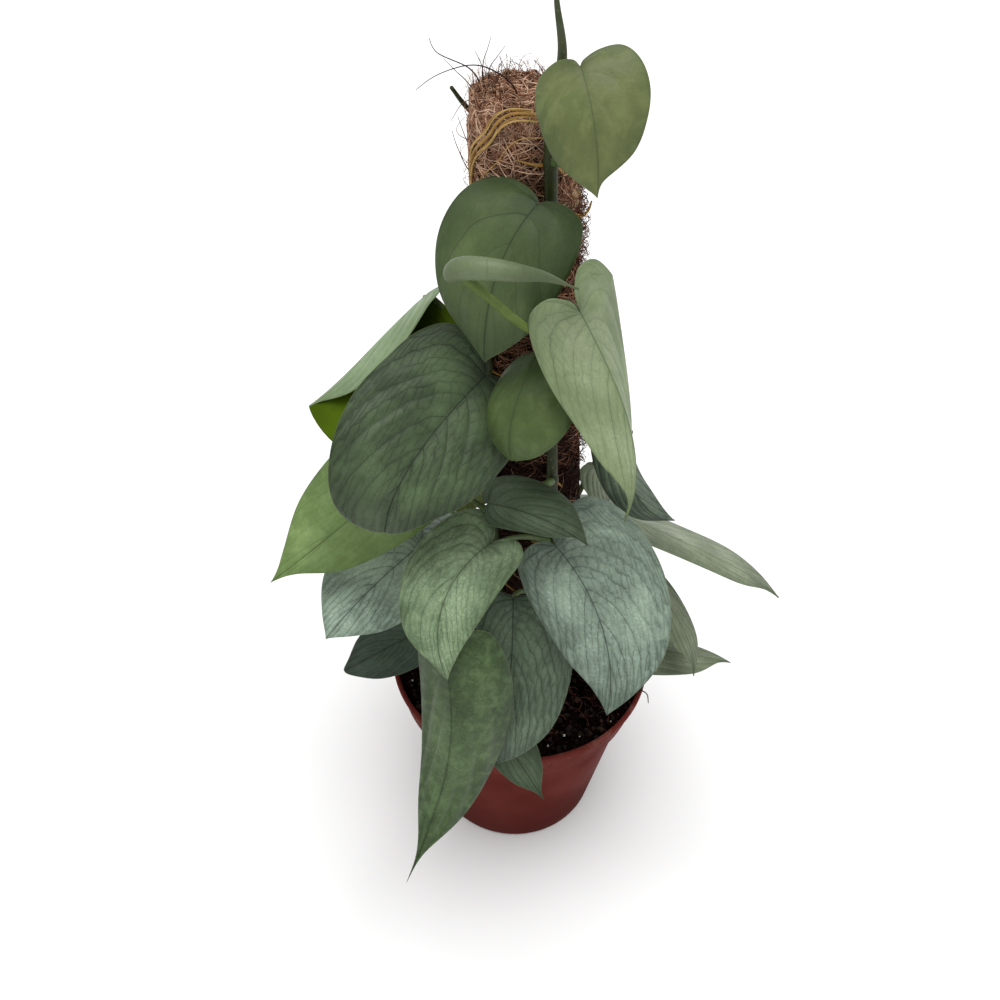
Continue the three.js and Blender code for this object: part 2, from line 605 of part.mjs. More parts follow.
// Soil that fills the pot, with a lumpy top and plain holes for the pole and the stems.
function soilGeometry() {
  const top = POT_HEIGHT - SOIL_BELOW_RIM;
  const shoulder = POT_HEIGHT - POT_COLLAR_HEIGHT;
  const clear = POT_WALL + GAP + 0.3;
  const edge = POT_RIM_RADIUS - 1 - clear - 0.4;
  const fill = turned([
    [0, POT_FLOOR + GAP],
    [POT_BASE_RADIUS - clear, POT_FLOOR + GAP],
    [POT_SHOULDER_RADIUS - clear, shoulder - 1 + POT_WALL],
    [POT_COLLAR_RADIUS - clear, shoulder + 1 + POT_WALL + GAP],
    [edge, top - 1.5],
    [edge * 0.84, top],
    [edge * 0.66, top],
    [edge * 0.48, top],
    [edge * 0.3, top],
    [0, top],
  ], 24);
  const position = fill.attributes.position;
  for (let k = 0; k < position.count; k += 1) {
    const [x, y, z] = [position.getX(k), position.getY(k), position.getZ(k)];
    if (z < top - 0.1) continue;
    const lump = Math.sin(0.31 * x + 0.6) * Math.cos(0.27 * y - 0.4) + 0.6 * Math.sin(0.19 * (x - y));
    position.setZ(k, z + SOIL_BUMP * lump);
  }
  let soil = solidOf(fill);
  const bore = POLE_RADIUS + POLE_RELIEF + GAP + 0.1;
  soil = soil.subtract(solidOf(leaningBar(POLE_FOOT - GAP, POT_HEIGHT + 20, 1, 24, () => bore, 0)));
  for (const vine of Object.values(VINES)) {
    const foot = top - VINE_DEPTH_IN_SOIL - GAP;
    const course = new THREE.LineCurve3(vinePoint(vine, foot), vinePoint(vine, top + 12));
    soil = soil.subtract(solidOf(tube(course, VINE_RADIUS + GAP + 0.15, 1, 10)));
  }
  return geometryOf(soil);
}

// A round bar along the pole's leaning axis, with level ends; radiusAt gives its radius at an angle and ring.
function leaningBar(low, high, rings, sides, radiusAt, dome) {
  const positions = [poleX(low), 0, low];
  const indices = [];
  for (let i = 0; i <= rings; i += 1) {
    const height = low + ((high - low) * i) / rings;
    for (let k = 0; k < sides; k += 1) {
      const angle = (2 * Math.PI * k) / sides;
      const radius = radiusAt(angle, i);
      positions.push(poleX(height) + radius * Math.cos(angle), radius * Math.sin(angle), height);
    }
  }
  positions.push(poleX(high), 0, high + dome);
  const tip = positions.length / 3 - 1;
  const last = 1 + rings * sides;
  for (let k = 0; k < sides; k += 1) {
    const next = (k + 1) % sides;
    indices.push(0, 1 + next, 1 + k, last + k, last + next, tip);
    for (let i = 0; i < rings; i += 1) {
      const here = 1 + i * sides;
      const there = here + sides;
      indices.push(here + k, here + next, there + next, here + k, there + next, there + k);
    }
  }
  const geometry = new THREE.BufferGeometry();
  geometry.setAttribute('position', new THREE.Float32BufferAttribute(positions, 3));
  geometry.setIndex(indices);
  return geometry;
}

// The coir pole, with a rough wound surface and a slightly domed top.
function poleGeometry() {
  const rough = (angle, ring) => Math.sin(5 * angle + 1.7 * ring) * Math.cos(3 * angle - 2.3 * ring);
  const radiusAt = (angle, ring) => POLE_RADIUS + POLE_RELIEF * rough(angle, ring);
  return leaningBar(POLE_FOOT, POLE_TOP, POLE_RINGS, POLE_SIDES, radiusAt, POLE_DOME);
}

// The stem whose leaf stalk was cut off at the pole's top left.
function backVineGeometry() {
  const stub = new THREE.CatmullRomCurve3([
    vinePoint(VINES.vine_back, VINES.vine_back.top - 4),
    ...CUT_STALK.map((p) => new THREE.Vector3(...p)),
  ]);
  return geometryOf(vineSolid(VINES.vine_back).add(solidOf(tube(stub, CUT_STALK_RADIUS, 6, 6))));
}

// A climbing stem as a solid.
function vineSolid(vine) {
  return solidOf(tube(vineCurve(vine), VINE_RADIUS, VINE_STEPS, VINE_SIDES));
}

// The new leaf, still rolled to a spike, that goes on from the top of the front stem.
function spikeGeometry() {
  const foot = vinePoint(VINES.vine_front, VINES.vine_front.top);
  const curve = new THREE.CatmullRomCurve3([
    foot.clone().add(new THREE.Vector3(0, 0, 2 * GAP)),
    ...SPIKE_COURSE.map((p) => new THREE.Vector3(...p)),
  ]);
  return spindle(curve, (share) => SPIKE_RADIUS * (1 - share) ** 0.9, 12, 8);
}

// The young leaf, still rolled along its length, on its long stalk.
function rolledLeafGeometry() {
  const blade = new THREE.CatmullRomCurve3(ROLLED_BLADE.map((p) => new THREE.Vector3(...p)));
  const node = vinePoint(VINES.vine_front, ROLLED_STALK_NODE);
  const [first] = ROLLED_STALK;
  const bearing = new THREE.Vector3(...first).sub(node).setZ(0).normalize();
  const start = node.addScaledVector(bearing, VINE_RADIUS + 2 * GAP + ROLLED_STALK_RADIUS);
  const stalk = new THREE.CatmullRomCurve3([start, ...ROLLED_STALK.map((p) => new THREE.Vector3(...p))]);
  const swell = (share) => Math.sin(Math.PI * Math.min(0.2 + 0.82 * share ** 0.75, 0.98)) ** 0.8;
  const radiusAt = (share) => ROLLED_BLADE_RADIUS * swell(share);
  const rolled = solidOf(spindle(blade, radiusAt, 14, 8));
  return geometryOf(rolled.add(solidOf(tube(stalk, ROLLED_STALK_RADIUS, 10, 6))));
}

// The golden air roots that wind over the pole's top.
function airRootGeometry() {
  const reach = POLE_RADIUS + POLE_RELIEF + AIR_ROOT_RADIUS + GAP;
  const course = AIR_ROOT_COURSE.map(([bearing, height]) => (
    aroundPole(THREE.MathUtils.degToRad(bearing), height, reach)
  ));
  return tube(new THREE.CatmullRomCurve3(course), AIR_ROOT_RADIUS, 18, 6);
}

// Pot, soil, pole
addPiece('pot', potGeometry(), TERRACOTTA);
addPiece('soil', soilGeometry(), SOIL_BROWN);
addPiece('coir_pole', poleGeometry(), COIR_BROWN);

// Stems, air roots, the new leaf and the young rolled one
for (const name of ['vine_front', 'vine_left', 'vine_right']) {
  addPiece(name, geometryOf(vineSolid(VINES[name])), STEM_GREEN);
}
addPiece('vine_back', backVineGeometry(), STEM_GREEN);
addPiece('air_roots', airRootGeometry(), ROOT_GOLD);
addPiece('new_leaf_spike', spikeGeometry(), STEM_GREEN);
addPiece('rolled_leaf', rolledLeafGeometry(), YOUNG_GREEN);

// Heart leaves, each blade fused to its stalk
for (const leaf of LEAVES) {
  const stalk = solidOf(tube(stalkCurve(leaf), STALK_RADIUS, STALK_STEPS, STALK_SIDES));
  addPiece(leaf.name, geometryOf(solidOf(bladeGeometry(leaf)).add(stalk)), leaf.finish ?? GREY_GREEN);
}

export default plant;
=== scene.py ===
"""A potted climbing aroid with silvery heart-shaped leaves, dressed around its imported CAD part.

Lengths are millimetres inside the classes and become metres where a mesh is made. +Z is up, and -Y is the
plant's front.
"""

import logging
import math
from dataclasses import dataclass
from enum import Enum
from itertools import combinations
from typing import Sequence

import bpy
import numpy as np
from bpy.types import Material, NodeSocket, Object
from mathutils import Matrix, Vector


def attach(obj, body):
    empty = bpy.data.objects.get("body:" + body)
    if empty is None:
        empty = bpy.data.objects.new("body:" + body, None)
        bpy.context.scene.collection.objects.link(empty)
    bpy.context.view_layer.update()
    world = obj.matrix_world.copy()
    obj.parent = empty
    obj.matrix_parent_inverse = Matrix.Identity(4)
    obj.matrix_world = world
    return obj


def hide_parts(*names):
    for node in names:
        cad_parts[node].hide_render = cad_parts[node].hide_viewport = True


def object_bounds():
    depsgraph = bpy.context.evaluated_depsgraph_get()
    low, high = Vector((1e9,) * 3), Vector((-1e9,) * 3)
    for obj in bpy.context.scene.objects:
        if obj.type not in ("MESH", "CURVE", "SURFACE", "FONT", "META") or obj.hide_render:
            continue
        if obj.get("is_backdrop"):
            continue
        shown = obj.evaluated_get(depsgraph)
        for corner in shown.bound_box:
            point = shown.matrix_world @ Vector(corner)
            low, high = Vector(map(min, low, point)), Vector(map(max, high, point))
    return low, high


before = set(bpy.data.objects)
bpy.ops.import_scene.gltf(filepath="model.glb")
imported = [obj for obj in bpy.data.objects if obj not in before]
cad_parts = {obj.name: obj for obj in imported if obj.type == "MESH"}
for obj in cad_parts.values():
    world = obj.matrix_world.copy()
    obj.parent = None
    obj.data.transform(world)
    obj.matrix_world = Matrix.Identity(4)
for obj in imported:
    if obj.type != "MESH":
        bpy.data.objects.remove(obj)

LOG = logging.getLogger("plant")
BODY = "root"
METRES = 0.001
PLAN_UNIT = 100.0  # millimetres for one on a blade's plans
PHASES = 6.28  # once round, for waves that start anywhere
Colour = tuple[float, float, float]
Point = tuple[float, float, float]
Range = tuple[float, float]
Tubes = tuple[np.ndarray, np.ndarray, np.ndarray]


# ---------------------------------------------------------------- meshes


def unit(vectors: np.ndarray) -> np.ndarray:
    """Gives vectors along the last axis the length one."""
    return vectors / np.maximum(np.linalg.norm(vectors, axis=-1, keepdims=True), 1e-9)


def upright(vectors: np.ndarray, axis: np.ndarray) -> np.ndarray:
    """Turns vectors square to an axis of length one, and gives them the length one."""
    return unit(vectors - axis * np.sum(vectors * axis, axis=-1, keepdims=True))


def circle(sides: int) -> np.ndarray:
    """Bearings once round a circle, with the first one again at the end."""
    return np.arange(sides + 1) * math.tau / sides


def bell(values: np.ndarray, middle: float, width: float) -> np.ndarray:
    """A smooth hump, 1 at its middle and near 0 two widths off."""
    return np.exp(-(((values - middle) / width) ** 2))


class Draws:
    """Seeded chance, where each draw gives one number for every fibre or bit."""

    def __init__(self, seed: int, count: int) -> None:
        """Starts the chance.

        Args:
            seed: Chooses the numbers.
            count: How many fibres or bits there are.
        """
        self.chance = np.random.default_rng(seed)
        self.count = count

    def even(self, low: float, high: float) -> np.ndarray:
        """Numbers spread evenly from low to high."""
        return self.chance.uniform(low, high, (self.count, 1))

    def near(self, middle: float, spread: float) -> np.ndarray:
        """Numbers that gather round a middle."""
        return self.chance.normal(middle, spread, (self.count, 1))

    def share(self, first: float, second: float) -> np.ndarray:
        """Numbers from 0 to 1 that lean to 0 the more the second number outweighs the first."""
        return self.chance.beta(first, second, (self.count, 1))

    def pick(self, *options: float) -> np.ndarray:
        """One of a few numbers each."""
        return self.chance.choice(options, (self.count, 1))


class Surface:
    """Collects vertices, faces and their plans, and makes one mesh object of them."""

    def __init__(self, *plans: str) -> None:
        """Starts empty.

        Args:
            *plans: Names of the flat plans that each vertex has a place on.
        """
        self.points: list[np.ndarray] = []
        self.plans: dict[str, list[np.ndarray]] = {name: [] for name in plans}
        self.faces: list[np.ndarray] = []
        self.slots: list[np.ndarray] = []
        self.count = 0

    def add(self, points: np.ndarray, faces: np.ndarray, slot: int = 0, **plans: np.ndarray) -> None:
        """Adds a patch.

        Args:
            points: Its vertices in millimetres, three numbers each.
            faces: Its faces, three or four vertex numbers each.
            slot: The material slot that its faces take.
            **plans: Two numbers for each vertex, for each named plan.
        """
        points = points.reshape(-1, 3)
        self.points.append(points)
        for name, stored in self.plans.items():
            plan = plans.get(name, np.zeros(2)).reshape(-1, 2)
            stored.append(np.broadcast_to(plan, (len(points), 2)))
        self.faces.append(faces + self.count)
        self.slots.append(np.full(len(faces), slot))
        self.count += len(points)

    def tube(self, course: np.ndarray, radii: np.ndarray, sides: int, slot: int = 0) -> None:
        """Adds one round stem.

        Args:
            course: Points along its middle.
            radii: The radius at each point.
            sides: Its sides.
            slot: The material slot that its faces take.
        """
        points, faces, plan = tubes(course[None], radii[None], sides)
        self.add(points, faces, slot, TubePlan=plan)

    def make(self, name: str, materials: Sequence[Material], smooth: bool = True) -> Object:
        """Makes the mesh object, with vertices that lie at one point joined.

        Args:
            name: The object's name.
            materials: Its materials, in the order of the slots.
            smooth: Whether its faces are shaded smoothly.

        Returns:
            The new object, linked to the scene.
        """
        points = np.concatenate(self.points)
        _, first, joined = np.unique(np.round(points, 4), axis=0, return_index=True, return_inverse=True)
        joined = joined.reshape(-1)
        faces, corners, slots = [], [], []
        for patch, slot in zip(self.faces, self.slots):
            for face, chosen in zip(patch.tolist(), slot.tolist()):
                kept: list[int] = []
                for corner in face:
                    if not kept or joined[corner] not in (joined[kept[-1]], joined[kept[0]]):
                        kept.append(corner)
                if len(kept) > 2:
                    faces.append([int(joined[corner]) for corner in kept])
                    corners.extend(kept)
                    slots.append(chosen)
        mesh = bpy.data.meshes.new(name)
        mesh.from_pydata((points[first] * METRES).tolist(), [], faces)
        for plan, stored in self.plans.items():
            layer = mesh.uv_layers.new(name=plan)
            layer.data.foreach_set("uv", np.concatenate(stored)[corners].astype(np.float32).ravel())
        for material in materials:
            mesh.materials.append(material)
        mesh.polygons.foreach_set("material_index", slots)
        mesh.polygons.foreach_set("use_smooth", [smooth] * len(faces))
        mesh.validate()
        mesh.update()
        piece = bpy.data.objects.new(name, mesh)
        bpy.context.scene.collection.objects.link(piece)
        return piece


def grid_faces(rows: int, columns: int, flip: bool = False, closed: bool = False) -> np.ndarray:
    """Faces of a grid of vertices that is stored row by row.

    Args:
        rows: Vertices along the grid.
        columns: Vertices across the grid.
        flip: Whether the faces look the other way.
        closed: Whether the last column joins the first.

    Returns:
        Four vertex numbers for each face.
    """
    across = np.arange(columns if closed else columns - 1)
    row, column = np.meshgrid(np.arange(rows - 1) * columns, across, indexing="ij")
    beside = (column + 1) % columns
    quads = [row + column, row + beside, row + columns + beside, row + columns + column]
    faces = np.stack([corner.ravel() for corner in quads], axis=1)
    return faces[:, ::-1] if flip else faces


def tubes(courses: np.ndarray, radii: np.ndarray, sides: int, ends: bool = True) -> Tubes:
    """Round tubes along many courses at once.

    Args:
        courses: Points along each course, as tubes by steps by three.
        radii: The radius at each point, as tubes by steps.
        sides: Sides of each tube.
        ends: Whether the ends are drawn together to a point.

    Returns:
        Vertices, faces and each vertex's place, as share round and share along.
    """
    if ends:
        courses = np.concatenate([courses[:, :1], courses, courses[:, -1:]], axis=1)
        radii = np.concatenate([radii[:, :1] * 0, radii, radii[:, -1:] * 0], axis=1)
    count, steps = radii.shape
    ahead = np.gradient(courses, axis=1)
    if ends:
        ahead[:, 0], ahead[:, 1] = ahead[:, 2], ahead[:, 2]
        ahead[:, -1], ahead[:, -2] = ahead[:, -3], ahead[:, -3]
    ahead = unit(ahead)
    aside = np.zeros_like(ahead)
    steep = np.abs(ahead[:, 0, 2:3]) > 0.8
    previous = unit(np.cross(ahead[:, 0], np.where(steep, np.array([[1.0, 0, 0]]), np.array([[0, 0, 1.0]]))))
    for step in range(steps):
        previous = upright(previous, ahead[:, step])
        aside[:, step] = previous
    third = np.cross(ahead, aside)
    angle = circle(sides)[:-1]
    ring = aside[:, :, None] * np.cos(angle)[:, None] + third[:, :, None] * np.sin(angle)[:, None]
    points = courses[:, :, None] + ring * radii[:, :, None, None]
    one = grid_faces(steps, sides, closed=True)
    faces = (one[None] + (np.arange(count) * steps * sides)[:, None, None]).reshape(-1, 4)
    share = np.broadcast_to(np.linspace(0, 1, steps)[None, :, None], (count, steps, sides))
    turn = np.broadcast_to((angle / math.tau)[None, None], (count, steps, sides))
    return points.reshape(-1, 3), faces, np.stack([turn.ravel(), share.ravel()], axis=1)


def spline(knots: np.ndarray, place: np.ndarray) -> np.ndarray:
    """A smooth curve through knots, of which the first and the last only steer its ends.

    Args:
        knots: The knots, one row each.
        place: Where points are wanted, from 0 at the second knot, one more for each knot after it.

    Returns:
        The curve's points, one row each.
    """
    index = np.minimum(place.astype(int), len(knots) - 4)
    part = (place - index)[:, None]
    p0, p1, p2, p3 = (knots[index + shift] for shift in range(4))
    bend = (2 * p0 - 5 * p1 + 4 * p2 - p3) * part**2
    twist = (3 * (p1 - p2) + p3 - p0) * part**3
    return 0.5 * (2 * p1 + (p2 - p0) * part + bend + twist)


def smooth_course(points: Sequence[Point] | np.ndarray, steps: int) -> np.ndarray:
    """A smooth course with so many steps through points."""
    given = np.array(points, float)
    knots = np.concatenate([[2 * given[0] - given[1]], given, [2 * given[-1] - given[-2]]])
    return spline(knots, np.linspace(0, len(given) - 1, steps))


def bezier(
    start: np.ndarray, first: np.ndarray, second: np.ndarray, end: np.ndarray, u: np.ndarray
) -> np.ndarray:
    """A cubic curve between two points, drawn towards two others.

    Args:
        start: Where it starts.
        first: What its start is drawn towards.
        second: What its end is drawn towards.
        end: Where it ends.
        u: Shares of the way.

    Returns:
        The curve's points.
    """
    return (1 - u) ** 3 * start + 3 * (1 - u) ** 2 * u * first + 3 * (1 - u) * u**2 * second + u**3 * end


def ripples(points: np.ndarray, size: float, seed: int, waves: int = 7, height: float = 3.2) -> np.ndarray:
    """Smooth uneven numbers between about -1 and 1 over space.

    Args:
        points: Where they are wanted.
        size: About how far apart two highs lie.
        seed: Chooses the pattern.
        waves: How many plain waves are added up.
        height: What their sum is divided by.

    Returns:
        One number for each point.
    """
    chance = np.random.default_rng(seed)
    total = np.zeros(points.shape[:-1])
    for _ in range(waves):
        direction = unit(chance.normal(size=3)) * chance.uniform(0.6, 1.6) * math.tau / size
        total += np.sin(points @ direction + chance.uniform(0, PHASES))
    return total / height


def bits(centres: np.ndarray, sizes: np.ndarray, seed: int) -> Tubes:
    """Small uneven chunks with twenty flat sides each.

    Args:
        centres: Their middles, one row each.
        sizes: Their half widths along three axes, one row each.
        seed: Chooses their shapes and turns.

    Returns:
        Vertices, faces and a plan that gives each chunk its own shade.
    """
    chance = np.random.default_rng(seed)
    golden = (1 + math.sqrt(5)) / 2
    corners = np.array([[a, b * golden, 0] for a in (-1, 1) for b in (-1, 1)], float)
    ball = unit(np.concatenate([corners, corners[:, [2, 0, 1]], corners[:, [1, 2, 0]]]))
    neighbours = np.linalg.norm(ball[:, None] - ball, axis=2) < 1.1
    faces = []
    for i, j, k in combinations(range(len(ball)), 3):
        if neighbours[i, j] and neighbours[j, k] and neighbours[i, k]:
            outward = np.dot(np.cross(ball[j] - ball[i], ball[k] - ball[i]), ball[i]) > 0
            faces.append((i, j, k) if outward else (k, j, i))
    count, corner_count = len(centres), len(ball)
    turns, _ = np.linalg.qr(chance.normal(size=(count, 3, 3)))
    rough = ball[None] * chance.uniform(0.65, 1.15, (count, corner_count, 1))
    points = np.einsum("nvk,nkj->nvj", rough * sizes[:, None], turns) + centres[:, None]
    every = (np.array(faces)[None] + (np.arange(count) * corner_count)[:, None, None]).reshape(-1, 3)
    shade = np.repeat(chance.uniform(0, 1, (count, 2)), corner_count, axis=0)
    return points.reshape(-1, 3), every, shade


# ---------------------------------------------------------------- finishes


class Term:
    """A number that a material works out from place to place, so that its sums are written as sums."""

    def __init__(self, graph: "Graph", socket: NodeSocket) -> None:
        """Keeps the socket that gives the number, and the node tree that it is in."""
        self.graph = graph
        self.socket = socket

    def __add__(self, other: "Value") -> "Term":
        """The sum."""
        return self.graph.sum("ADD", self, other)

    def __sub__(self, other: "Value") -> "Term":
        """The difference."""
        return self.graph.sum("SUBTRACT", self, other)

    def __mul__(self, other: "Value") -> "Term":
        """The product."""
        return self.graph.sum("MULTIPLY", self, other)

    def __abs__(self) -> "Term":
        """The number without its sign."""
        return self.graph.sum("ABSOLUTE", self)

    def __round__(self) -> "Term":
        """The nearest whole number."""
        return self.graph.sum("ROUND", self)

    def __floor__(self) -> "Term":
        """The whole number below."""
        return self.graph.sum("FLOOR", self)

    def most(self, other: "Value") -> "Term":
        """The larger of two."""
        return self.graph.sum("MAXIMUM", self, other)

    def least(self, other: "Value") -> "Term":
        """The smaller of two."""
        return self.graph.sum("MINIMUM", self, other)

    def span(self, low: float, high: float, start: float = 0.0, end: float = 1.0) -> "Term":
        """Maps the number smoothly from one range to another, and holds it at the ends.

        Args:
            low: Where the first range begins.
            high: Where the first range ends.
            start: What low becomes.
            end: What high becomes.

        Returns:
            The mapped number.
        """
        inputs = dict(enumerate((self, low, high, start, end)))
        return self.graph.node("MapRange", inputs, interpolation_type="SMOOTHSTEP")

    def fade(self, low: float, high: float, start: float = 1.0) -> "Term":
        """Lets the number fall smoothly from start at low to 0 at high."""
        return self.span(low, high, start, 0.0)


Value = Term | float
Inputs = dict[int | str, Value | Colour]


class Graph:
    """A material's node tree, with short ways to add the nodes that the finishes use."""

    def __init__(self, name: str, roughness: float, gloss: float, sheen: float = 0.0) -> None:
        """Makes the material with one shader.

        Args:
            name: The material's name.
            roughness: The shader's even roughness.
            gloss: The shader's even specular level.
            sheen: The shader's even sheen.
        """
        self.material = bpy.data.materials.new(name)
        self.material.use_nodes = True
        self.tree = self.material.node_tree
        self.tree.nodes.clear()
        shader = {"Roughness": roughness, "Specular IOR Level": gloss, "Sheen Weight": sheen}
        shaded = self.node("BsdfPrincipled", shader)
        self.shader = shaded.socket.node
        self.node("OutputMaterial", {0: shaded}, output=None)

    def node(self, kind: str, inputs: Inputs, output: int | str | None = 0, **settings: str) -> Term | None:
        """Adds a node.

        Args:
            kind: Its type, without what all types begin with.
            inputs: What its inputs take: a number, a colour or another node's number.
            output: The output that is wanted, if any.
            **settings: Its settings.

        Returns:
            What the output gives.
        """
        node = self.tree.nodes.new(f"ShaderNode{kind}")
        for key, setting in settings.items():
            setattr(node, key, setting)
        for key, value in inputs.items():
            self.feed(node.inputs[key], value)
        return None if output is None else Term(self, node.outputs[output])

    def feed(self, socket: NodeSocket, value: Value | Colour) -> None:
        """Links or sets a socket.

        Args:
            socket: The input.
            value: Another node's number, a plain number or a colour.
        """
        if isinstance(value, Term):
            self.tree.links.new(value.socket, socket)
        elif isinstance(value, tuple):
            socket.default_value = (*value, 1.0)
        else:
            socket.default_value = value

    def sum(self, operation: str, first: Value, second: Value = 0.0) -> Term:
        """The result of a Math node's operation on two numbers."""
        return self.node("Math", {0: first, 1: second}, operation=operation)

    def mix(self, share: Value, first: Term | Colour, second: Term | Colour) -> Term:
        """Mixes two colours.

        Args:
            share: How much of the second is taken, from 0 to 1.
            first: The first colour.
            second: The second colour.

        Returns:
            The mixed colour.
        """
        return self.node("Mix", {0: share, 6: first, 7: second}, 2, data_type="RGBA")

    def place(self) -> Term:
        """The surface's own place in metres."""
        return self.node("TexCoord", {}, "Object")

    def noise(self, scale: float, detail: float = 3.0, where: Term | None = None, warp: float = 0.0) -> Term:
        """Adds cloudy noise.

        Args:
            scale: How fine it is, in lumps for each metre or for each unit of another place.
            detail: How many finer layers it has.
            where: The place that it is read at, the surface's own place where none is given.
            warp: How much it is twisted.

        Returns:
            Its strength, from 0 to 1.
        """
        inputs = {"Vector": where or self.place(), "Scale": scale, "Detail": detail, "Distortion": warp}
        return self.node("TexNoise", inputs)

    def chance(self, *where: Value) -> Term:
        """A number from 0 to 1 that jumps wherever one of up to three numbers changes."""
        return self.node("TexWhiteNoise", {"Vector": self.vector(*where)}, "Value")

    def marks(self, where: Value) -> Term:
        """How far a number is from the nearest of unevenly spaced marks, about one apart."""
        inputs = {"W": where, "Scale": 1.0, "Randomness": 0.75}
        kind = {"voronoi_dimensions": "1D", "feature": "DISTANCE_TO_EDGE"}
        return self.node("TexVoronoi", inputs, "Distance", **kind)

    def split(self, vector: Term) -> list[Term]:
        """The three numbers of a vector."""
        parts = self.tree.nodes.new("ShaderNodeSeparateXYZ")
        self.feed(parts.inputs[0], vector)
        return [Term(self, output) for output in parts.outputs]

    def height(self) -> Term:
        """The surface's own height in metres."""
        return self.split(self.place())[2]

    def plan(self, name: str) -> list[Term]:
        """The two numbers of a flat plan of the mesh."""
        return self.split(self.node("UVMap", {}, uv_map=name))[:2]

    def vector(self, *parts: Value) -> Term:
        """Joins up to three numbers."""
        return self.node("CombineXYZ", dict(enumerate(parts)))

    def finish(
        self, colour: Term, roughness: Term, height: Term, depth: float, strength: float = 0.6
    ) -> Material:
        """Feeds the shader.

        Args:
            colour: The surface's colour.
            roughness: The surface's roughness.
            height: The fine relief, from 0 to 1.
            depth: How deep the relief is, in metres.
            strength: How strongly the relief shows.

        Returns:
            The finished material.
        """
        bump = self.node("Bump", {"Strength": strength, "Distance": depth, "Height": height})
        for name, value in (("Base Color", colour), ("Roughness", roughness), ("Normal", bump)):
            self.feed(self.shader.inputs[name], value)
        return self.material


def tint(colour: Colour, factor: float, lift: float = 0.0) -> Colour:
    """A colour times a factor, plus a little."""
    return tuple(factor * channel + lift for channel in colour)


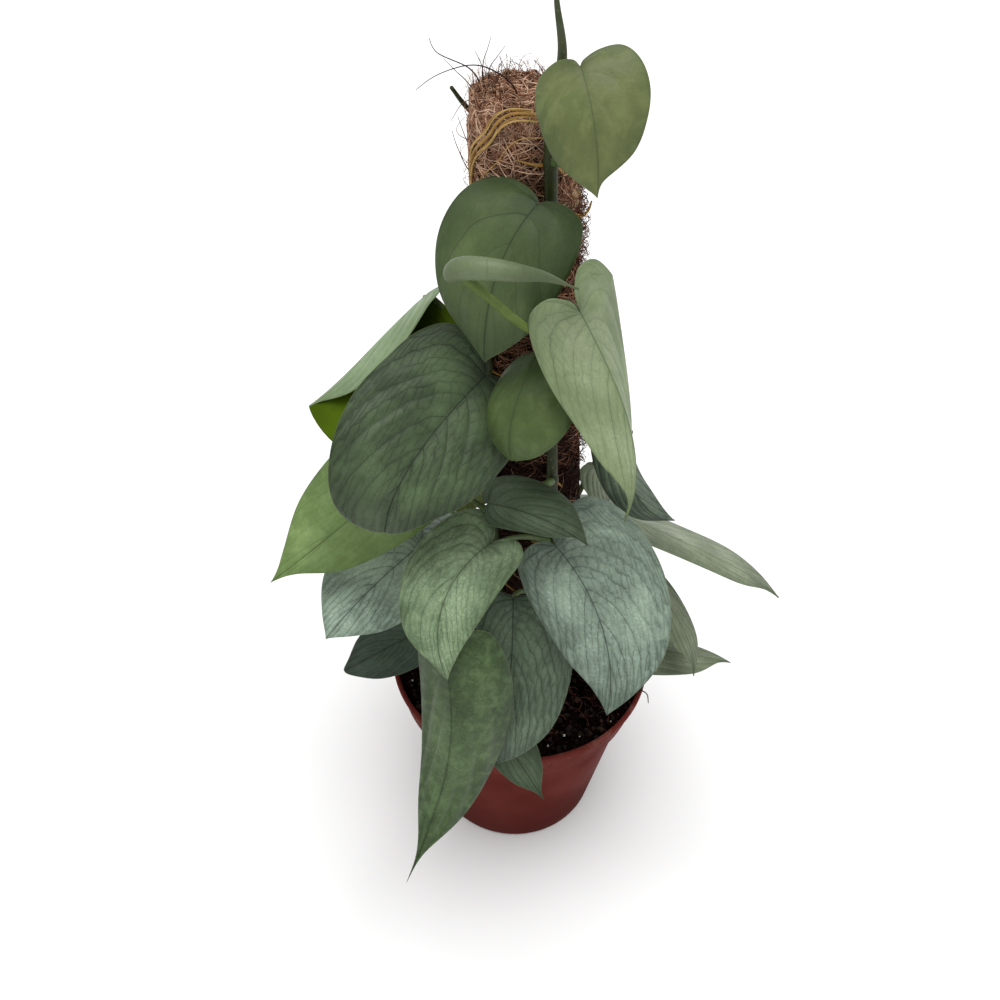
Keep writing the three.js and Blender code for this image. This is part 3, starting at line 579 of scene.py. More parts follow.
@dataclass(frozen=True)
class LeafFinish:
    """A leaf's two sides: silvery tissue over green, with dark veins and a dark net between them.

    The widths are in millimetres: a line is full up to the first number and gone at the second. The two
    depths are in metres, and the two shifts keep the rungs of neighbouring lanes and halves apart.
    """

    silver: Colour
    green: Colour
    vein: Colour
    veins: float = 0.7
    net: float = 0.6
    flecks_and_glints: float = 0.35
    blotch: float = 0.2
    rough: float = 0.5
    below: Colour = (0.15, 0.19, 0.065)
    swell: float = 0.42
    laterals: int = 8

    MARGIN = (0.2, 0.25, 0.12)
    LANES_PER_VEIN = 2
    CELL_LENGTH = 6.2
    LANE_SHIFT = 37.3
    SIDE_SHIFT = 0.37
    LATERAL_WIDTH = (0.05, 0.22)
    ARC_WIDTH = (0.03, 0.16)
    RUNG_WIDTH = (0.03, 0.14)
    RIB_WIDTH = (0.1, 0.4)
    MARGIN_WIDTH = (0.1, 0.4)
    CELL_REACH = (0.2, 1.5)
    # Brightened silver: the colour of the real silver blotches, and also of the painted glints and highlights.
    BRIGHT_SILVER_AND_HIGHLIGHT = (1.5, 0.01)
    DEPTH = 0.0009
    DEPTH_BELOW = 0.0005

    def lines(self, graph: Graph) -> tuple[Term, Term, Term, Term, Term]:
        """Draws the veins on the blade's plans: laterals, and between them lanes with rungs across.

        Args:
            graph: The material's nodes.

        Returns:
            The laterals, the midrib and the fine net from 0 to 1, how far the place is from the net in
            millimetres, and the swelling between laterals from 0 to 1.
        """
        course, out = graph.plan("VeinPlan")
        reach, gap = graph.plan("BladePlan")
        run, _ = graph.plan("RunPlan")
        side = graph.sum("SIGN", reach)
        turn = course * self.laterals + (graph.noise(60.0, 2.0) - 0.5) * 0.4
        whole = round(turn)
        near = abs(turn - whole)
        wide = gap * (PLAN_UNIT / self.laterals)
        fading = graph.chance(whole, side).span(0.0, 1.0, 0.5, 1.0) * out.span(0.65, 1.0, 1.0, 0.5)
        lateral = (near * wide).fade(*self.LATERAL_WIDTH) * fading
        rib = (abs(reach) * PLAN_UNIT).fade(*self.RIB_WIDTH)
        lanes = turn * self.LANES_PER_VEIN + (graph.noise(190.0, 2.0) - 0.5)
        line, lane = round(lanes), math.floor(lanes)
        arc = abs(lanes - line) * (wide * (1.0 / self.LANES_PER_VEIN))
        arc_shown = graph.chance(line, side, 3.0).span(0.1, 0.8, 0.45, 1.0)
        start = (lane + side * self.SIDE_SHIFT) * self.LANE_SHIFT
        slant = (lanes - lane) * (graph.chance(lane, side, 5.0) - 0.5)
        bend = slant + (graph.noise(420.0, 2.0) - 0.5) * 0.5
        steps = run * (PLAN_UNIT / self.CELL_LENGTH) + (start + bend)
        rung = graph.marks(steps) * self.CELL_LENGTH
        rung_shown = graph.noise(210.0, 1.0).span(0.3, 0.45, 0.0, 0.8)
        net = (arc.fade(*self.ARC_WIDTH) * arc_shown).most(rung.fade(*self.RUNG_WIDTH) * rung_shown)
        puff = near.least(out * 0.6).span(0.0, 0.4)
        return lateral, rib, net, arc.least(rung), puff

    def upper(self, name: str) -> Material:
        """Makes the upper side's material under a name."""
        graph = Graph(f"{name}_upper", self.rough, 0.2, 0.02)
        lateral, rib, net, apart, puff = self.lines(graph)
        course, out = graph.plan("VeinPlan")
        run, inset = graph.plan("RunPlan")
        cloud = graph.noise(42.0).span(0.3, 0.7)
        # Fine silver flecks, which are also painted glints: they shine most where the painted highlight is
        # strong.
        fleck_and_glint = graph.noise(850.0, warp=0.5).span(0.5, 0.64)
        blotch = graph.noise(190.0, warp=0.5).span(0.42, 0.75)
        # Silver strongest in the middle of each half, greener towards the midrib, margin, notch and tip: partly
        # the leaf's own silvering, partly a painted highlight across the blade.
        across = out.span(0.0, 0.14, 0.55, 1.0) * out.span(0.4, 1.0, 1.0, 0.25)
        along = course.span(0.05, 0.4, 0.4, 1.0) * course.span(0.72, 1.0, 1.0, 0.4)
        patch = across * along * cloud.span(0.0, 1.0, 1.0, 0.35)
        bright_silver_and_highlight = tint(self.silver, *self.BRIGHT_SILVER_AND_HIGHLIGHT)
        tissue = graph.mix(patch, self.green, self.silver)
        # Painted highlight: each cell of the net is lightened towards its middle, as a reflection on its puffed
        # tissue.
        lit = apart.span(*self.CELL_REACH, 0.0, 0.3 * self.net)
        for share in (blotch * self.blotch, fleck_and_glint * patch * self.flecks_and_glints, lit):
            tissue = graph.mix(share, tissue, bright_silver_and_highlight)
        # Painted shade: large darker patches at random, standing in for the uneven shading of the curved blade.
        tissue = graph.mix(graph.noise(33.0, 2.0).fade(0.35, 0.65, 0.35), tissue, tint(self.green, 0.5))
        # Darker green round the notch: partly the blade's own deeper colour there, partly painted shade at its
        # base.
        foot = run.fade(0.0, 0.14) * course.fade(0.2, 0.5, 0.6)
        tissue = graph.mix(foot, tissue, tint(self.green, 0.6))
        seen = graph.noise(70.0, 2.0).span(0.35, 0.6, 0.15 * self.net, self.net)
        dark = (lateral * self.veins).most(net * seen).most(rib * (0.2 + 0.8 * self.veins))
        colour = graph.mix(dark, tissue, self.vein)
        colour = graph.mix((inset * PLAN_UNIT).fade(*self.MARGIN_WIDTH, 0.25), colour, self.MARGIN)
        rough = patch * -0.08 + (dark * 0.1 + self.rough)
        relief = puff * (1.4 * self.swell) - dark * 0.35
        relief = relief + apart.span(0.0, 1.5, 0.0, 0.2 * self.net) + graph.noise(900.0) * 0.14
        return graph.finish(colour, rough, relief, self.DEPTH, 0.7)

    def lower(self, name: str) -> Material:
        """Makes the underside's material, paler and yellower, with raised veins, under a name."""
        graph = Graph(f"{name}_lower", self.rough, 0.004)
        lateral, rib, net, _, _ = self.lines(graph)
        cloud = graph.noise(55.0).span(0.3, 0.7)
        raised = (lateral * 0.6).most(rib)
        tissue = graph.mix(cloud, self.below, tint(self.below, 0.72))
        colour = graph.mix(raised * 0.45, tissue, tint(self.below, 1.35))
        colour = graph.mix(net * 0.2, colour, tint(self.below, 0.5))
        relief = raised * 0.6 + graph.noise(700.0) * 0.2
        return graph.finish(colour, cloud * 0.12 + 0.48, relief, self.DEPTH_BELOW)


@dataclass(frozen=True)
class StemFinish:
    """Green stems and stalks with fine lengthwise lines and small pale specks."""

    green: Colour
    pale: Colour
    rough: float = 0.45

    SPECK = (0.35, 0.32, 0.16)

    def material(self, name: str) -> Material:
        """Makes the material under a name."""
        graph = Graph(name, self.rough, 0.25)
        turn, along = graph.plan("TubePlan")
        lines = graph.noise(26.0, where=graph.vector(turn, along * 0.08))
        cloud = graph.noise(110.0).span(0.35, 0.7)
        speck = graph.noise(1100.0, 2.0).span(0.66, 0.74)
        colour = graph.mix(cloud * 0.7, self.green, self.pale)
        colour = graph.mix(speck * 0.4, colour, self.SPECK)
        return graph.finish(colour, lines * 0.15 + self.rough, lines * 0.6 + speck * 0.4, 0.0004)


@dataclass(frozen=True)
class StrandFinish:
    """Dry fibres, each with its own shade, from a dark to a light one."""

    dark: Colour
    middle: Colour
    light: Colour
    rough: float = 0.8

    def material(self, name: str) -> Material:
        """Makes the material under a name."""
        graph = Graph(name, self.rough, 0.08, 0.02)
        shade, _ = graph.plan("StrandPlan")
        patch = graph.noise(260.0)
        colour = graph.mix(shade.span(0.0, 0.55), self.dark, self.middle)
        colour = graph.mix(shade.span(0.6, 0.98), colour, self.light)
        colour = graph.mix(patch.span(0.35, 0.7, 0.0, 0.5), colour, self.dark)
        return graph.finish(colour, patch * 0.15 + (self.rough - 0.08), graph.noise(2500.0, 2.0), 0.0001)


@dataclass(frozen=True)
class FeltFinish:
    """The dense dark mat of fibres under the loose strands, or the soil's dark crumb.

    rise gives the two heights, in metres, between which it grows lighter: painted shade that darkens it
    lower down the pole, under the leaves. The mat's dark end is partly painted shade too, for the gaps between
    strands.
    """

    dark: Colour
    light: Colour
    scale: float
    depth: float
    rise: Range | None = None

    def material(self, name: str) -> Material:
        """Makes the material under a name."""
        graph = Graph(name, 0.9, 0.004)
        crossing = graph.noise(self.scale, 5.0, warp=2.5)
        lumps = graph.noise(0.4 * self.scale, 4.0)
        share = (crossing * (lumps + 0.5)).span(0.35, 0.75)
        # Painted shade: darker lower down, lighter towards the heights in rise.
        if self.rise:
            share = share * graph.height().span(*self.rise, 0.25, 1.0)
        colour = graph.mix(share, self.dark, self.light)
        return graph.finish(colour, lumps * 0.15 + 0.8, crossing + lumps * 0.6, self.depth, 0.9)


@dataclass(frozen=True)
class PlasticFinish:
    """The pot's terracotta-red plastic, with a faint grain, soil specks near the rim and a scuffed foot."""

    red: Colour = (0.119, 0.0245, 0.0195)
    deep: Colour = (0.087, 0.0155, 0.0125)
    dusty: Colour = (0.2, 0.085, 0.07)
    soiled: Colour = (0.03, 0.014, 0.01)
    scuffed: Colour = (0.42, 0.3, 0.24)

    def material(self, name: str) -> Material:
        """Makes the material under a name."""
        graph = Graph(name, 0.42, 0.004)
        _, height = graph.plan("PotPlan")
        cloud = graph.noise(24.0).span(0.3, 0.7)
        colour = graph.mix(cloud, self.red, self.deep)
        # Painted shade: the plastic darkens towards the bottom of the pot.
        colour = graph.mix(height.fade(0.0, 0.6, 0.55), colour, tint(self.deep, 0.6))
        dust = graph.noise(90.0, 4.0, warp=1.0).span(0.52, 0.7) * height.span(0.86, 1.0)
        colour = graph.mix(dust * 0.4, colour, self.dusty)
        speck = graph.noise(520.0).span(0.64, 0.7) * height.span(0.45, 0.97, 0.06, 0.95)
        colour = graph.mix(speck, colour, self.soiled)
        scuff = height.fade(0.0, 0.035) * graph.noise(300.0).span(0.4, 0.7)
        colour = graph.mix(scuff * 0.4, colour, self.scuffed)
        rough = cloud * 0.12 + (speck * 0.4 + 0.38)
        return graph.finish(colour, rough, graph.noise(1600.0, 2.0) * 0.35 + speck * 0.6, 0.0002, 0.4)


@dataclass(frozen=True)
class FloorFinish:
    """The plain pale floor."""

    white: Colour = (0.8, 0.8, 0.8)
    grey: Colour = (0.78, 0.78, 0.785)

    def material(self, name: str) -> Material:
        """Makes the material under a name."""
        graph = Graph(name, 0.9, 0.0)
        cloud = graph.noise(3.0, 2.0)
        colour = graph.mix(cloud * 0.04, self.white, self.grey)
        return graph.finish(colour, cloud * 0.05 + 0.88, cloud, 0.00005, 0.1)


class Shade(Enum):
    """The leaves' finishes, from young yellow-green to old silver and blue-grey."""

    YOUNG = LeafFinish(
        (0.156, 0.179, 0.065), (0.0799, 0.106, 0.0356), (0.0312, 0.0434, 0.0145),
        veins=0.16, net=0.06, flecks_and_glints=0.1, blotch=0.3, rough=0.45, swell=0.2, laterals=5,
    )
    YOUNG_DEEP = LeafFinish(
        (0.0894, 0.132, 0.0396), (0.0425, 0.0735, 0.0189), (0.0124, 0.0239, 0.00676),
        veins=0.14, net=0.05, flecks_and_glints=0.1, blotch=0.25, rough=0.48, swell=0.14, laterals=5,
    )
    YOUNG_SILVER = LeafFinish(
        (0.18, 0.261, 0.0945), (0.0922, 0.151, 0.0402), (0.0204, 0.0332, 0.0104),
        veins=0.35, net=0.15, flecks_and_glints=0.25, blotch=0.25, rough=0.48, swell=0.3, laterals=6,
    )
    DEEP_GREEN = LeafFinish(
        (0.0833, 0.121, 0.0422), (0.0371, 0.0599, 0.0202), (0.00931, 0.0159, 0.00574),
        veins=0.45, net=0.12, flecks_and_glints=0.15, blotch=0.1, swell=0.4, laterals=5,
    )
    SILVER_YELLOW = LeafFinish(
        (0.232, 0.277, 0.161), (0.154, 0.207, 0.0965), (0.0397, 0.0574, 0.0276),
        veins=0.45, net=0.35, flecks_and_glints=0.3,
    )
    SILVER_GREEN = LeafFinish(
        (0.226, 0.31, 0.181), (0.0682, 0.106, 0.0472), (0.0168, 0.0263, 0.0134),
        veins=0.45, net=0.5, flecks_and_glints=0.6, blotch=0.3, rough=0.52,
    )
    ROLLED = LeafFinish(
        (0.13, 0.166, 0.0878), (0.0703, 0.0962, 0.0408), (0.0266, 0.0369, 0.0143),
        veins=0.2, net=0.06, flecks_and_glints=0.15, blotch=0.1, rough=0.45, swell=0.08, laterals=5,
    )
    FOLDED = LeafFinish(
        (0.191, 0.271, 0.143), (0.142, 0.209, 0.096), (0.0281, 0.0419, 0.0168),
        veins=0.4, net=0.3, flecks_and_glints=0.3, rough=0.52, below=(0.06, 0.1, 0.006),
    )
    NETTED_GREY = LeafFinish(
        (0.0769, 0.118, 0.054), (0.0177, 0.0301, 0.0134), (0.00346, 0.0064, 0.00282),
        veins=0.55, net=0.5, flecks_and_glints=0.25,
    )
    SILVER_BLUE = LeafFinish(
        (0.256, 0.333, 0.258), (0.0802, 0.111, 0.085), (0.0174, 0.025, 0.0201),
        veins=0.6, net=0.65, flecks_and_glints=0.6, blotch=0.25, rough=0.55,
    )
    # Painted light: a lit copy of the silver-blue finish, about half as bright again, that offsets the shade
    # cast on leaf_silver_left.
    SILVER_PALE = LeafFinish(
        (0.375, 0.487, 0.38), (0.112, 0.155, 0.119), (0.0244, 0.035, 0.0282),
        veins=0.6, net=0.65, flecks_and_glints=0.6, blotch=0.25, rough=0.55,
    )
    # Dark blue-green leaves; on the back leaves this finish is painted shade for the dark gaps behind the front
    # ones.
    DARK_BLUE = LeafFinish(
        (0.0554, 0.0832, 0.0567), (0.0271, 0.0439, 0.0281), (0.004, 0.00705, 0.00421),
        veins=0.5, net=0.5, flecks_and_glints=0.3, blotch=0.25,
    )
    DARK_GREY = LeafFinish(
        (0.0943, 0.137, 0.0773), (0.0363, 0.0569, 0.0287), (0.00722, 0.012, 0.00627),
        veins=0.5, net=0.35, flecks_and_glints=0.25,
    )
    GREY_SILVER = LeafFinish(
        (0.134, 0.188, 0.123), (0.0394, 0.0604, 0.037), (0.00792, 0.0121, 0.00744),
        veins=0.6, net=0.7, blotch=0.25, rough=0.52,
    )
    MOTTLED = LeafFinish(
        (0.0615, 0.104, 0.0354), (0.0191, 0.0399, 0.0104), (0.00604, 0.0124, 0.00371),
        veins=0.45, net=0.2, flecks_and_glints=0.7, blotch=0.6, rough=0.45, swell=0.5, laterals=6,
    )
    PALE_SILVER = LeafFinish(
        (0.218, 0.252, 0.171), (0.11, 0.14, 0.0816), (0.0638, 0.0869, 0.0496),
        veins=0.5, net=0.4, flecks_and_glints=0.3, blotch=0.25, rough=0.52,
    )

    def materials(self) -> list[Material]:
        """The upper and lower material, made once and then shared.

        Returns:
            The two materials.
        """
        name = f"leaf_{self.name.lower()}"
        upper = bpy.data.materials.get(f"{name}_upper") or self.value.upper(name)
        lower = bpy.data.materials.get(f"{name}_lower") or self.value.lower(name)
        return [upper, lower]


class Finish(Enum):
    """Every finish but the leaves'."""

    # The climbing stems' green, darkened further as painted shade, since they stand behind the leaves.
    STEM = StemFinish((0.013, 0.019, 0.002), (0.03, 0.042, 0.004))
    STALK = StemFinish((0.05, 0.085, 0.022), (0.11, 0.15, 0.05))
    OLIVE = StemFinish((0.075, 0.115, 0.018), (0.14, 0.195, 0.04))
    SPIKE = StemFinish((0.03, 0.042, 0.014), (0.055, 0.066, 0.03))
    RUSTY = StrandFinish((0.03, 0.012, 0.008), (0.16, 0.065, 0.04), (0.36, 0.2, 0.12))
    COIR = StrandFinish((0.022, 0.008, 0.005), (0.33, 0.16, 0.093), (0.72, 0.49, 0.34))
    WIRY = StrandFinish((0.02, 0.01, 0.008), (0.06, 0.03, 0.02), (0.16, 0.08, 0.05), 0.6)
    GOLDEN = StrandFinish((0.2, 0.11, 0.03), (0.38, 0.22, 0.065), (0.52, 0.36, 0.13), 0.6)
    SHEATH = StrandFinish((0.14, 0.075, 0.035), (0.26, 0.17, 0.085), (0.4, 0.3, 0.18), 0.55)
    THREAD = StrandFinish((0.03, 0.011, 0.007), (0.09, 0.027, 0.016), (0.15, 0.055, 0.03), 0.7)
    CRUMB = StrandFinish((0.004, 0.002, 0.0016), (0.013, 0.0065, 0.0045), (0.036, 0.017, 0.011), 0.85)
    PERLITE = StrandFinish((0.22, 0.21, 0.18), (0.42, 0.4, 0.38), (0.6, 0.59, 0.57), 0.8)
    # Painted shade: the mat's dark end stands partly for the gaps between strands, and its rise darkens it
    # lower down the pole.
    FELT = FeltFinish((0.012, 0.005, 0.003), (0.16, 0.09, 0.06), 420.0, 0.0012, (0.34, 0.43))
    SOIL = FeltFinish((0.001, 0.0005, 0.0004), (0.009, 0.0042, 0.0028), 300.0, 0.0015)
    PLASTIC = PlasticFinish()
    FLOOR = FloorFinish()

    def material(self) -> Material:
        """The finish's material, made once and then shared."""
        name = f"finish_{self.name.lower()}"
        return bpy.data.materials.get(name) or self.value.material(name)


class Stem(Enum):
    """The climbing stems: bearing round the pole at the soil and the top in degrees, and the top's height."""

    FRONT = (-78, -64, 452)
    LEFT = (-172, -140, 372)
    RIGHT = (40, 50, 392)
    BACK = (98, 126, 436)


def settle(piece: Object, slot: str, *nodes: str) -> None:
    """Parents a finished piece to the root body's empty.

    Args:
        piece: The piece.
        slot: The name of a material slot; it is not used.
        *nodes: The CAD nodes that it stands for.
    """
    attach(piece, BODY)
    if nodes:
        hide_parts(*nodes)
    LOG.info("%s: %d faces", piece.name, len(piece.data.polygons))


def strands(
    name: str, courses: np.ndarray, radii: np.ndarray, shades: np.ndarray, finish: Finish, sides: int = 3
) -> Object:
    """Makes many fibres as one piece.

    Args:
        name: The piece's name.
        courses: Points along each fibre.
        radii: The radius at each point, or one for each fibre or for each step.
        shades: Each fibre's shade, from 0 dark to 1 light.
        finish: Their finish.
        sides: Sides of each fibre.

    Returns:
        The piece.
    """
    points, faces, place = tubes(courses, np.broadcast_to(radii, courses.shape[:2]), sides, ends=False)
    shade = np.repeat(np.ravel(shades), len(points) // len(courses))
    surface = Surface("StrandPlan")
    surface.add(points, faces, StrandPlan=np.stack([shade, place[:, 1]], axis=1))
    return surface.make(name, [finish.material()])


def chunks(
    name: str, centres: np.ndarray, sizes: np.ndarray, seed: int, finish: Finish, smooth: bool = False
) -> None:
    """Makes many small chunks as one piece of the soil.

    Args:
        name: The piece's name.
        centres: Their middles, one row each.
        sizes: Their half widths along three axes, one row each.
        seed: Chooses their shapes and turns.
        finish: Their finish.
        smooth: Whether their faces are shaded smoothly.
    """
    points, faces, shade = bits(centres, sizes, seed)
    surface = Surface("StrandPlan")
    surface.add(points, faces, StrandPlan=shade)
    settle(surface.make(name, [finish.material()], smooth), "potting_soil")


# ---------------------------------------------------------------- pot and soil


@dataclass
class NurseryPot:
    """The round pot with its collar, thin lip and drained floor."""

    height: float = 126.5
    base: float = 51.7
    shoulder: float = 66.6
    collar: float = 70.1
    rim: float = 75.0
    collar_height: float = 24.3
    lip: float = 4.0
    wall: float = 1.8
    floor: float = 2.4
    sides: int = 144
    holes: int = 8
    hole_radius: float = 4.0
    hole_circle: float = 39.0
    hole_sides: int = 24

    def profile(self) -> np.ndarray:
        """The wall's outline from the middle of the foot, round the lip, to the middle of the floor.

        Returns:
            Radius and height of each point.
        """
        base, shoulder, collar, rim = self.base, self.shoulder, self.collar, self.rim
        wall, top = self.wall, self.height
        step, lip = top - self.collar_height, top - self.lip
        side_foot, side_top = (base + 0.35, 2.7), (shoulder, step - 1.5)
        return np.array([
            (0, 0.9), (base - 9, 0.9), (base - 7, 0), (base - 2.4, 0), (base - 1.3, 0.25),
            (base - 0.5, 0.9), (base + 0.1, 1.9), side_foot,
            *([a + (b - a) * share for a, b in zip(side_foot, side_top)] for share in (0.1, 0.35, 0.7, 0.98)),
            (shoulder, step - 1.1), (shoulder + 0.5, step - 0.7), (collar - 0.6, step + 0.5),
            (collar, step + 1.0), (collar + 0.3, step + 2.2), (rim - 1.5, lip - 2.2), (rim - 1, lip - 0.2),
            (rim - 0.3, lip + 0.25), (rim, lip + 0.8), (rim, top - 0.9), (rim - 0.3, top - 0.3),
            (rim - 0.8, top), (rim - 1.8, top), (rim - 2.3, top - 0.5),
            (rim - 1 - wall, lip), (collar - wall, step + 1 + wall), (shoulder - wall, step - 1 + wall),
            (base - wall + 0.3, self.floor), (0, self.floor),
        ])

    def build(self) -> None:
        """Turns the wall, cuts the drain holes and dresses it."""
        profile = self.profile()
        angle, height = np.broadcast_arrays(circle(self.sides), profile[:, 1:])
        ring = np.stack([profile[:, :1] * np.cos(angle), profile[:, :1] * np.sin(angle), height], axis=2)
        surface = Surface("PotPlan")
        plan = np.stack([angle / math.tau, height / self.height], axis=2)
        surface.add(ring, grid_faces(*angle.shape), PotPlan=plan)
        piece = surface.make("pot_shell", [Finish.PLASTIC.material()])
        self.drill(piece)
        settle(piece, "terracotta_plastic", "pot")

    def drill(self, piece: Object) -> None:
        """Cuts the drain holes.

        Args:
            piece: The pot's wall and floor.
        """
        plugs = Surface()
        for spot in (np.arange(self.holes) + 0.5) * math.tau / self.holes:
            x, y = self.hole_circle * math.cos(spot), self.hole_circle * math.sin(spot)
            course = np.array([[(x, y, height) for height in (-3, 3, 8)]])
            points, faces, _ = tubes(course, np.full((1, 3), self.hole_radius), self.hole_sides)
            plugs.add(points, faces)
        tool = plugs.make("plugs", [])
        cut = piece.modifiers.new("holes", "BOOLEAN")
        cut.operation = "DIFFERENCE"
        cut.object = tool
        cut.solver = "EXACT"
        bpy.context.view_layer.update()
        drilled = bpy.data.meshes.new_from_object(piece.evaluated_get(bpy.context.evaluated_depsgraph_get()))
        piece.modifiers.clear()
        piece.data = drilled
        bpy.data.objects.remove(tool)


@dataclass
class CoirPole:
    """The coir-wound pole: a dark mat, tangled strands round it, a crown of strands and stray hairs."""

    radius: float = 20.2
    top: float = 453.0
    foot: float = 22.0
    rim: float = 126.5
    x_at_rim: float = 14.0
    x_at_top: float = -12.0
    core_rows: int = 170
    core_sides: int = 72
    crown_edge: float = 3.0
    strand_count: int = 3200
    strand_length: Range = (15, 50)
    strand_radius: Range = (0.12, 0.34)
    crown_count: int = 1000
    crown_length: Range = (9, 34)
    crown_radius: Range = (0.12, 0.3)
    hair_count: int = 560
    hair_reach: Range = (1.0, 5.5)
    hair_radius: Range = (0.08, 0.19)
    upright_count: int = 320
    upright_length: Range = (2.5, 11)

    def axis(self, height: np.ndarray) -> np.ndarray:
        """The pole's middle at heights, as its x; the pole leans to the left."""
        return self.x_at_rim + (self.x_at_top - self.x_at_rim) / (self.top - self.rim) * (height - self.rim)

    def around(self, bearing: np.ndarray, height: np.ndarray, reach: np.ndarray) -> np.ndarray:
        """Points round the pole.

        Args:
            bearing: Bearings in radians.
            height: Heights.
            reach: Distances from the pole's middle.

        Returns:
            The points.
        """
        bearing, height, reach = np.broadcast_arrays(bearing, height, reach)
        x = self.axis(height) + reach * np.cos(bearing)
        return np.stack([x, reach * np.sin(bearing), height], axis=-1)

    def taper(self, height: np.ndarray) -> np.ndarray:
        """Millimetres by which the pole is thinner at heights, because its loose top is drawn in."""
        return 4.4 * np.clip((height - self.top + 16) / 16, 0, 1.15) ** 2

    def core(self) -> None:
        """Builds the dark mat under the strands."""
        bearing = circle(self.core_sides)
        high = np.linspace(self.foot, self.top - 0.5, self.core_rows)[:, None]
        bump = ripples(self.around(bearing, high, self.radius - 0.7), 7.0, 3)
        bump[:, -1] = bump[:, 0]
        wall = self.around(bearing, high, self.radius - 0.9 + 0.55 * bump - self.taper(high))
        low, lid = (self.around(0 * bearing, level, 0)[None] for level in (self.foot, self.top + 0.3))
        rings = np.concatenate([low, wall, lid])
        surface = Surface()
        surface.add(rings, grid_faces(*rings.shape[:2]))
        settle(surface.make("coir_core", [Finish.FELT.material()]), "coir", "coir_pole")

    def strands(self, name: str, seed: int, wild: float) -> None:
        """Winds tangled strands round the pole.

        Args:
            name: The piece's name.
            seed: Chooses the strands.
            wild: The share of strands that run any way, where the rest lie roughly level.
        """
        draw = Draws(seed, self.strand_count)
        along = np.linspace(-0.5, 0.5, 9)[None]
        start = draw.even(0, math.tau)
        height = self.top - (self.top - self.rim + 14) * draw.share(1.0, 1.25)
        level = draw.near(0, 0.55)
        slope = np.where(draw.even(0, 1) < wild, draw.even(-1.57, 1.57), level)
        turn = draw.near(0, 1.1)
        length = draw.even(*self.strand_length)
        heading = slope + turn * along + draw.near(0, 0.9) * along**2
        go = length * np.diff(along, axis=1, prepend=along[:, :1])
        bearing = start + np.cumsum(go * np.cos(heading), axis=1) / self.radius * draw.pick(-1, 1)
        rise = np.minimum(height + np.cumsum(go * np.sin(heading), axis=1), self.top + 1.2)
        wave = np.sin(draw.even(0, PHASES) + along * draw.even(2, 9))
        lift = draw.even(-0.5, 0.7) + 0.55 * wave
        drawn_in = self.taper(rise) + 1.5 * np.clip((rise - self.top + 2.5) / 3.5, 0, 1) ** 2
        radii = np.repeat(draw.even(*self.strand_radius), along.size, axis=1)
        radii[:, [0, -1]] *= 0.4
        # Painted shade: strands that lie deeper in the tangle are darker and those that stand out lighter, and
        # the strands grow darker lower down the pole, under the leaves.
        outer = 0.45 * (lift.mean(axis=1, keepdims=True) + 0.5) / 1.5
        shades = np.clip(0.6 * draw.share(1.4, 1.4) + outer + 0.4 * (height - 405) / 70, 0, 1)
        courses = self.around(bearing, np.maximum(rise, self.rim - 16), self.radius + lift - drawn_in)
        settle(strands(name, courses, radii, shades, Finish.COIR), "coir")

    def crown(self) -> None:
        """Tangles strands over the pole's top, down over its edge."""
        draw = Draws(12, self.crown_count)
        along = np.linspace(-0.5, 0.5, 11)[None]
        spot = self.radius * np.sqrt(draw.even(0, 1.1))
        bearing = draw.even(0, math.tau)
        heading = draw.even(0, math.tau) + draw.near(0, 1.8) * along
        go = draw.even(*self.crown_length) / along.size
        x = spot * np.cos(bearing) + np.cumsum(go * np.cos(heading), axis=1)
        y = spot * np.sin(bearing) + np.cumsum(go * np.sin(heading), axis=1)
        away = np.hypot(x, y)
        edge = self.radius - self.crown_edge
        beyond = np.maximum(away - edge, 0)
        inward = np.minimum(away, edge + 2.2 * (1 - np.exp(-beyond / 2.0))) / np.maximum(away, 1e-6)
        lift = draw.even(-0.4, 2.4) * np.sin(math.pi * (along + 0.5)) + draw.even(-0.6, 0.6)
        uneven = 0.7 * ripples(np.stack([x, y, 0 * x], axis=-1), 9.0, 14)
        z = self.top + 1.0 + uneven + lift - 0.8 * np.maximum(beyond - 0.8, 0)
        courses = np.stack([self.axis(z) + x * inward, y * inward, z], axis=-1)
        radii, shades = draw.even(*self.crown_radius), np.clip(draw.share(2, 1.8) + 0.12, 0, 1)
        settle(strands("coir_crown", courses, radii, shades, Finish.COIR), "coir")

    def hairs(self) -> None:
        """Lets single hairs stand off the pole, most of them near its top, and others stand up on it."""
        draw = Draws(13, self.hair_count)
        along = np.linspace(0, 1, 9)[None]
        bearing = draw.even(0, math.tau)
        height = self.top - (self.top - self.rim - 20) * draw.share(0.7, 1.4)
        out = draw.even(*self.hair_reach) * np.sin(along * draw.even(1.6, 3.3))
        sweep = draw.near(0, 0.32) * along + draw.near(0, 0.2) * along**2
        rise = draw.near(1.0, 5.0) * along + draw.near(-2, 4.0) * along**2
        reach = self.radius + out - self.taper(height)
        off = self.around(bearing + sweep, np.minimum(height + rise, self.top + 6), reach)
        draw.count = self.upright_count
        bearing = draw.even(0, math.tau) + draw.near(0, 0.25) * along**2
        reach = draw.even(9, 18.5) + draw.near(0.8, 1.8) * along
        rise = self.top - 1 + draw.even(*self.upright_length) * np.sin(along * draw.even(1.1, 2.0))
        courses = np.concatenate([off, self.around(bearing, rise, reach)])
        draw.count = len(courses)
        radii = draw.even(*self.hair_radius) * (1.1 - 0.6 * along)
        settle(strands("coir_stray_hairs", courses, radii, draw.share(1.6, 1.6), Finish.COIR), "coir")

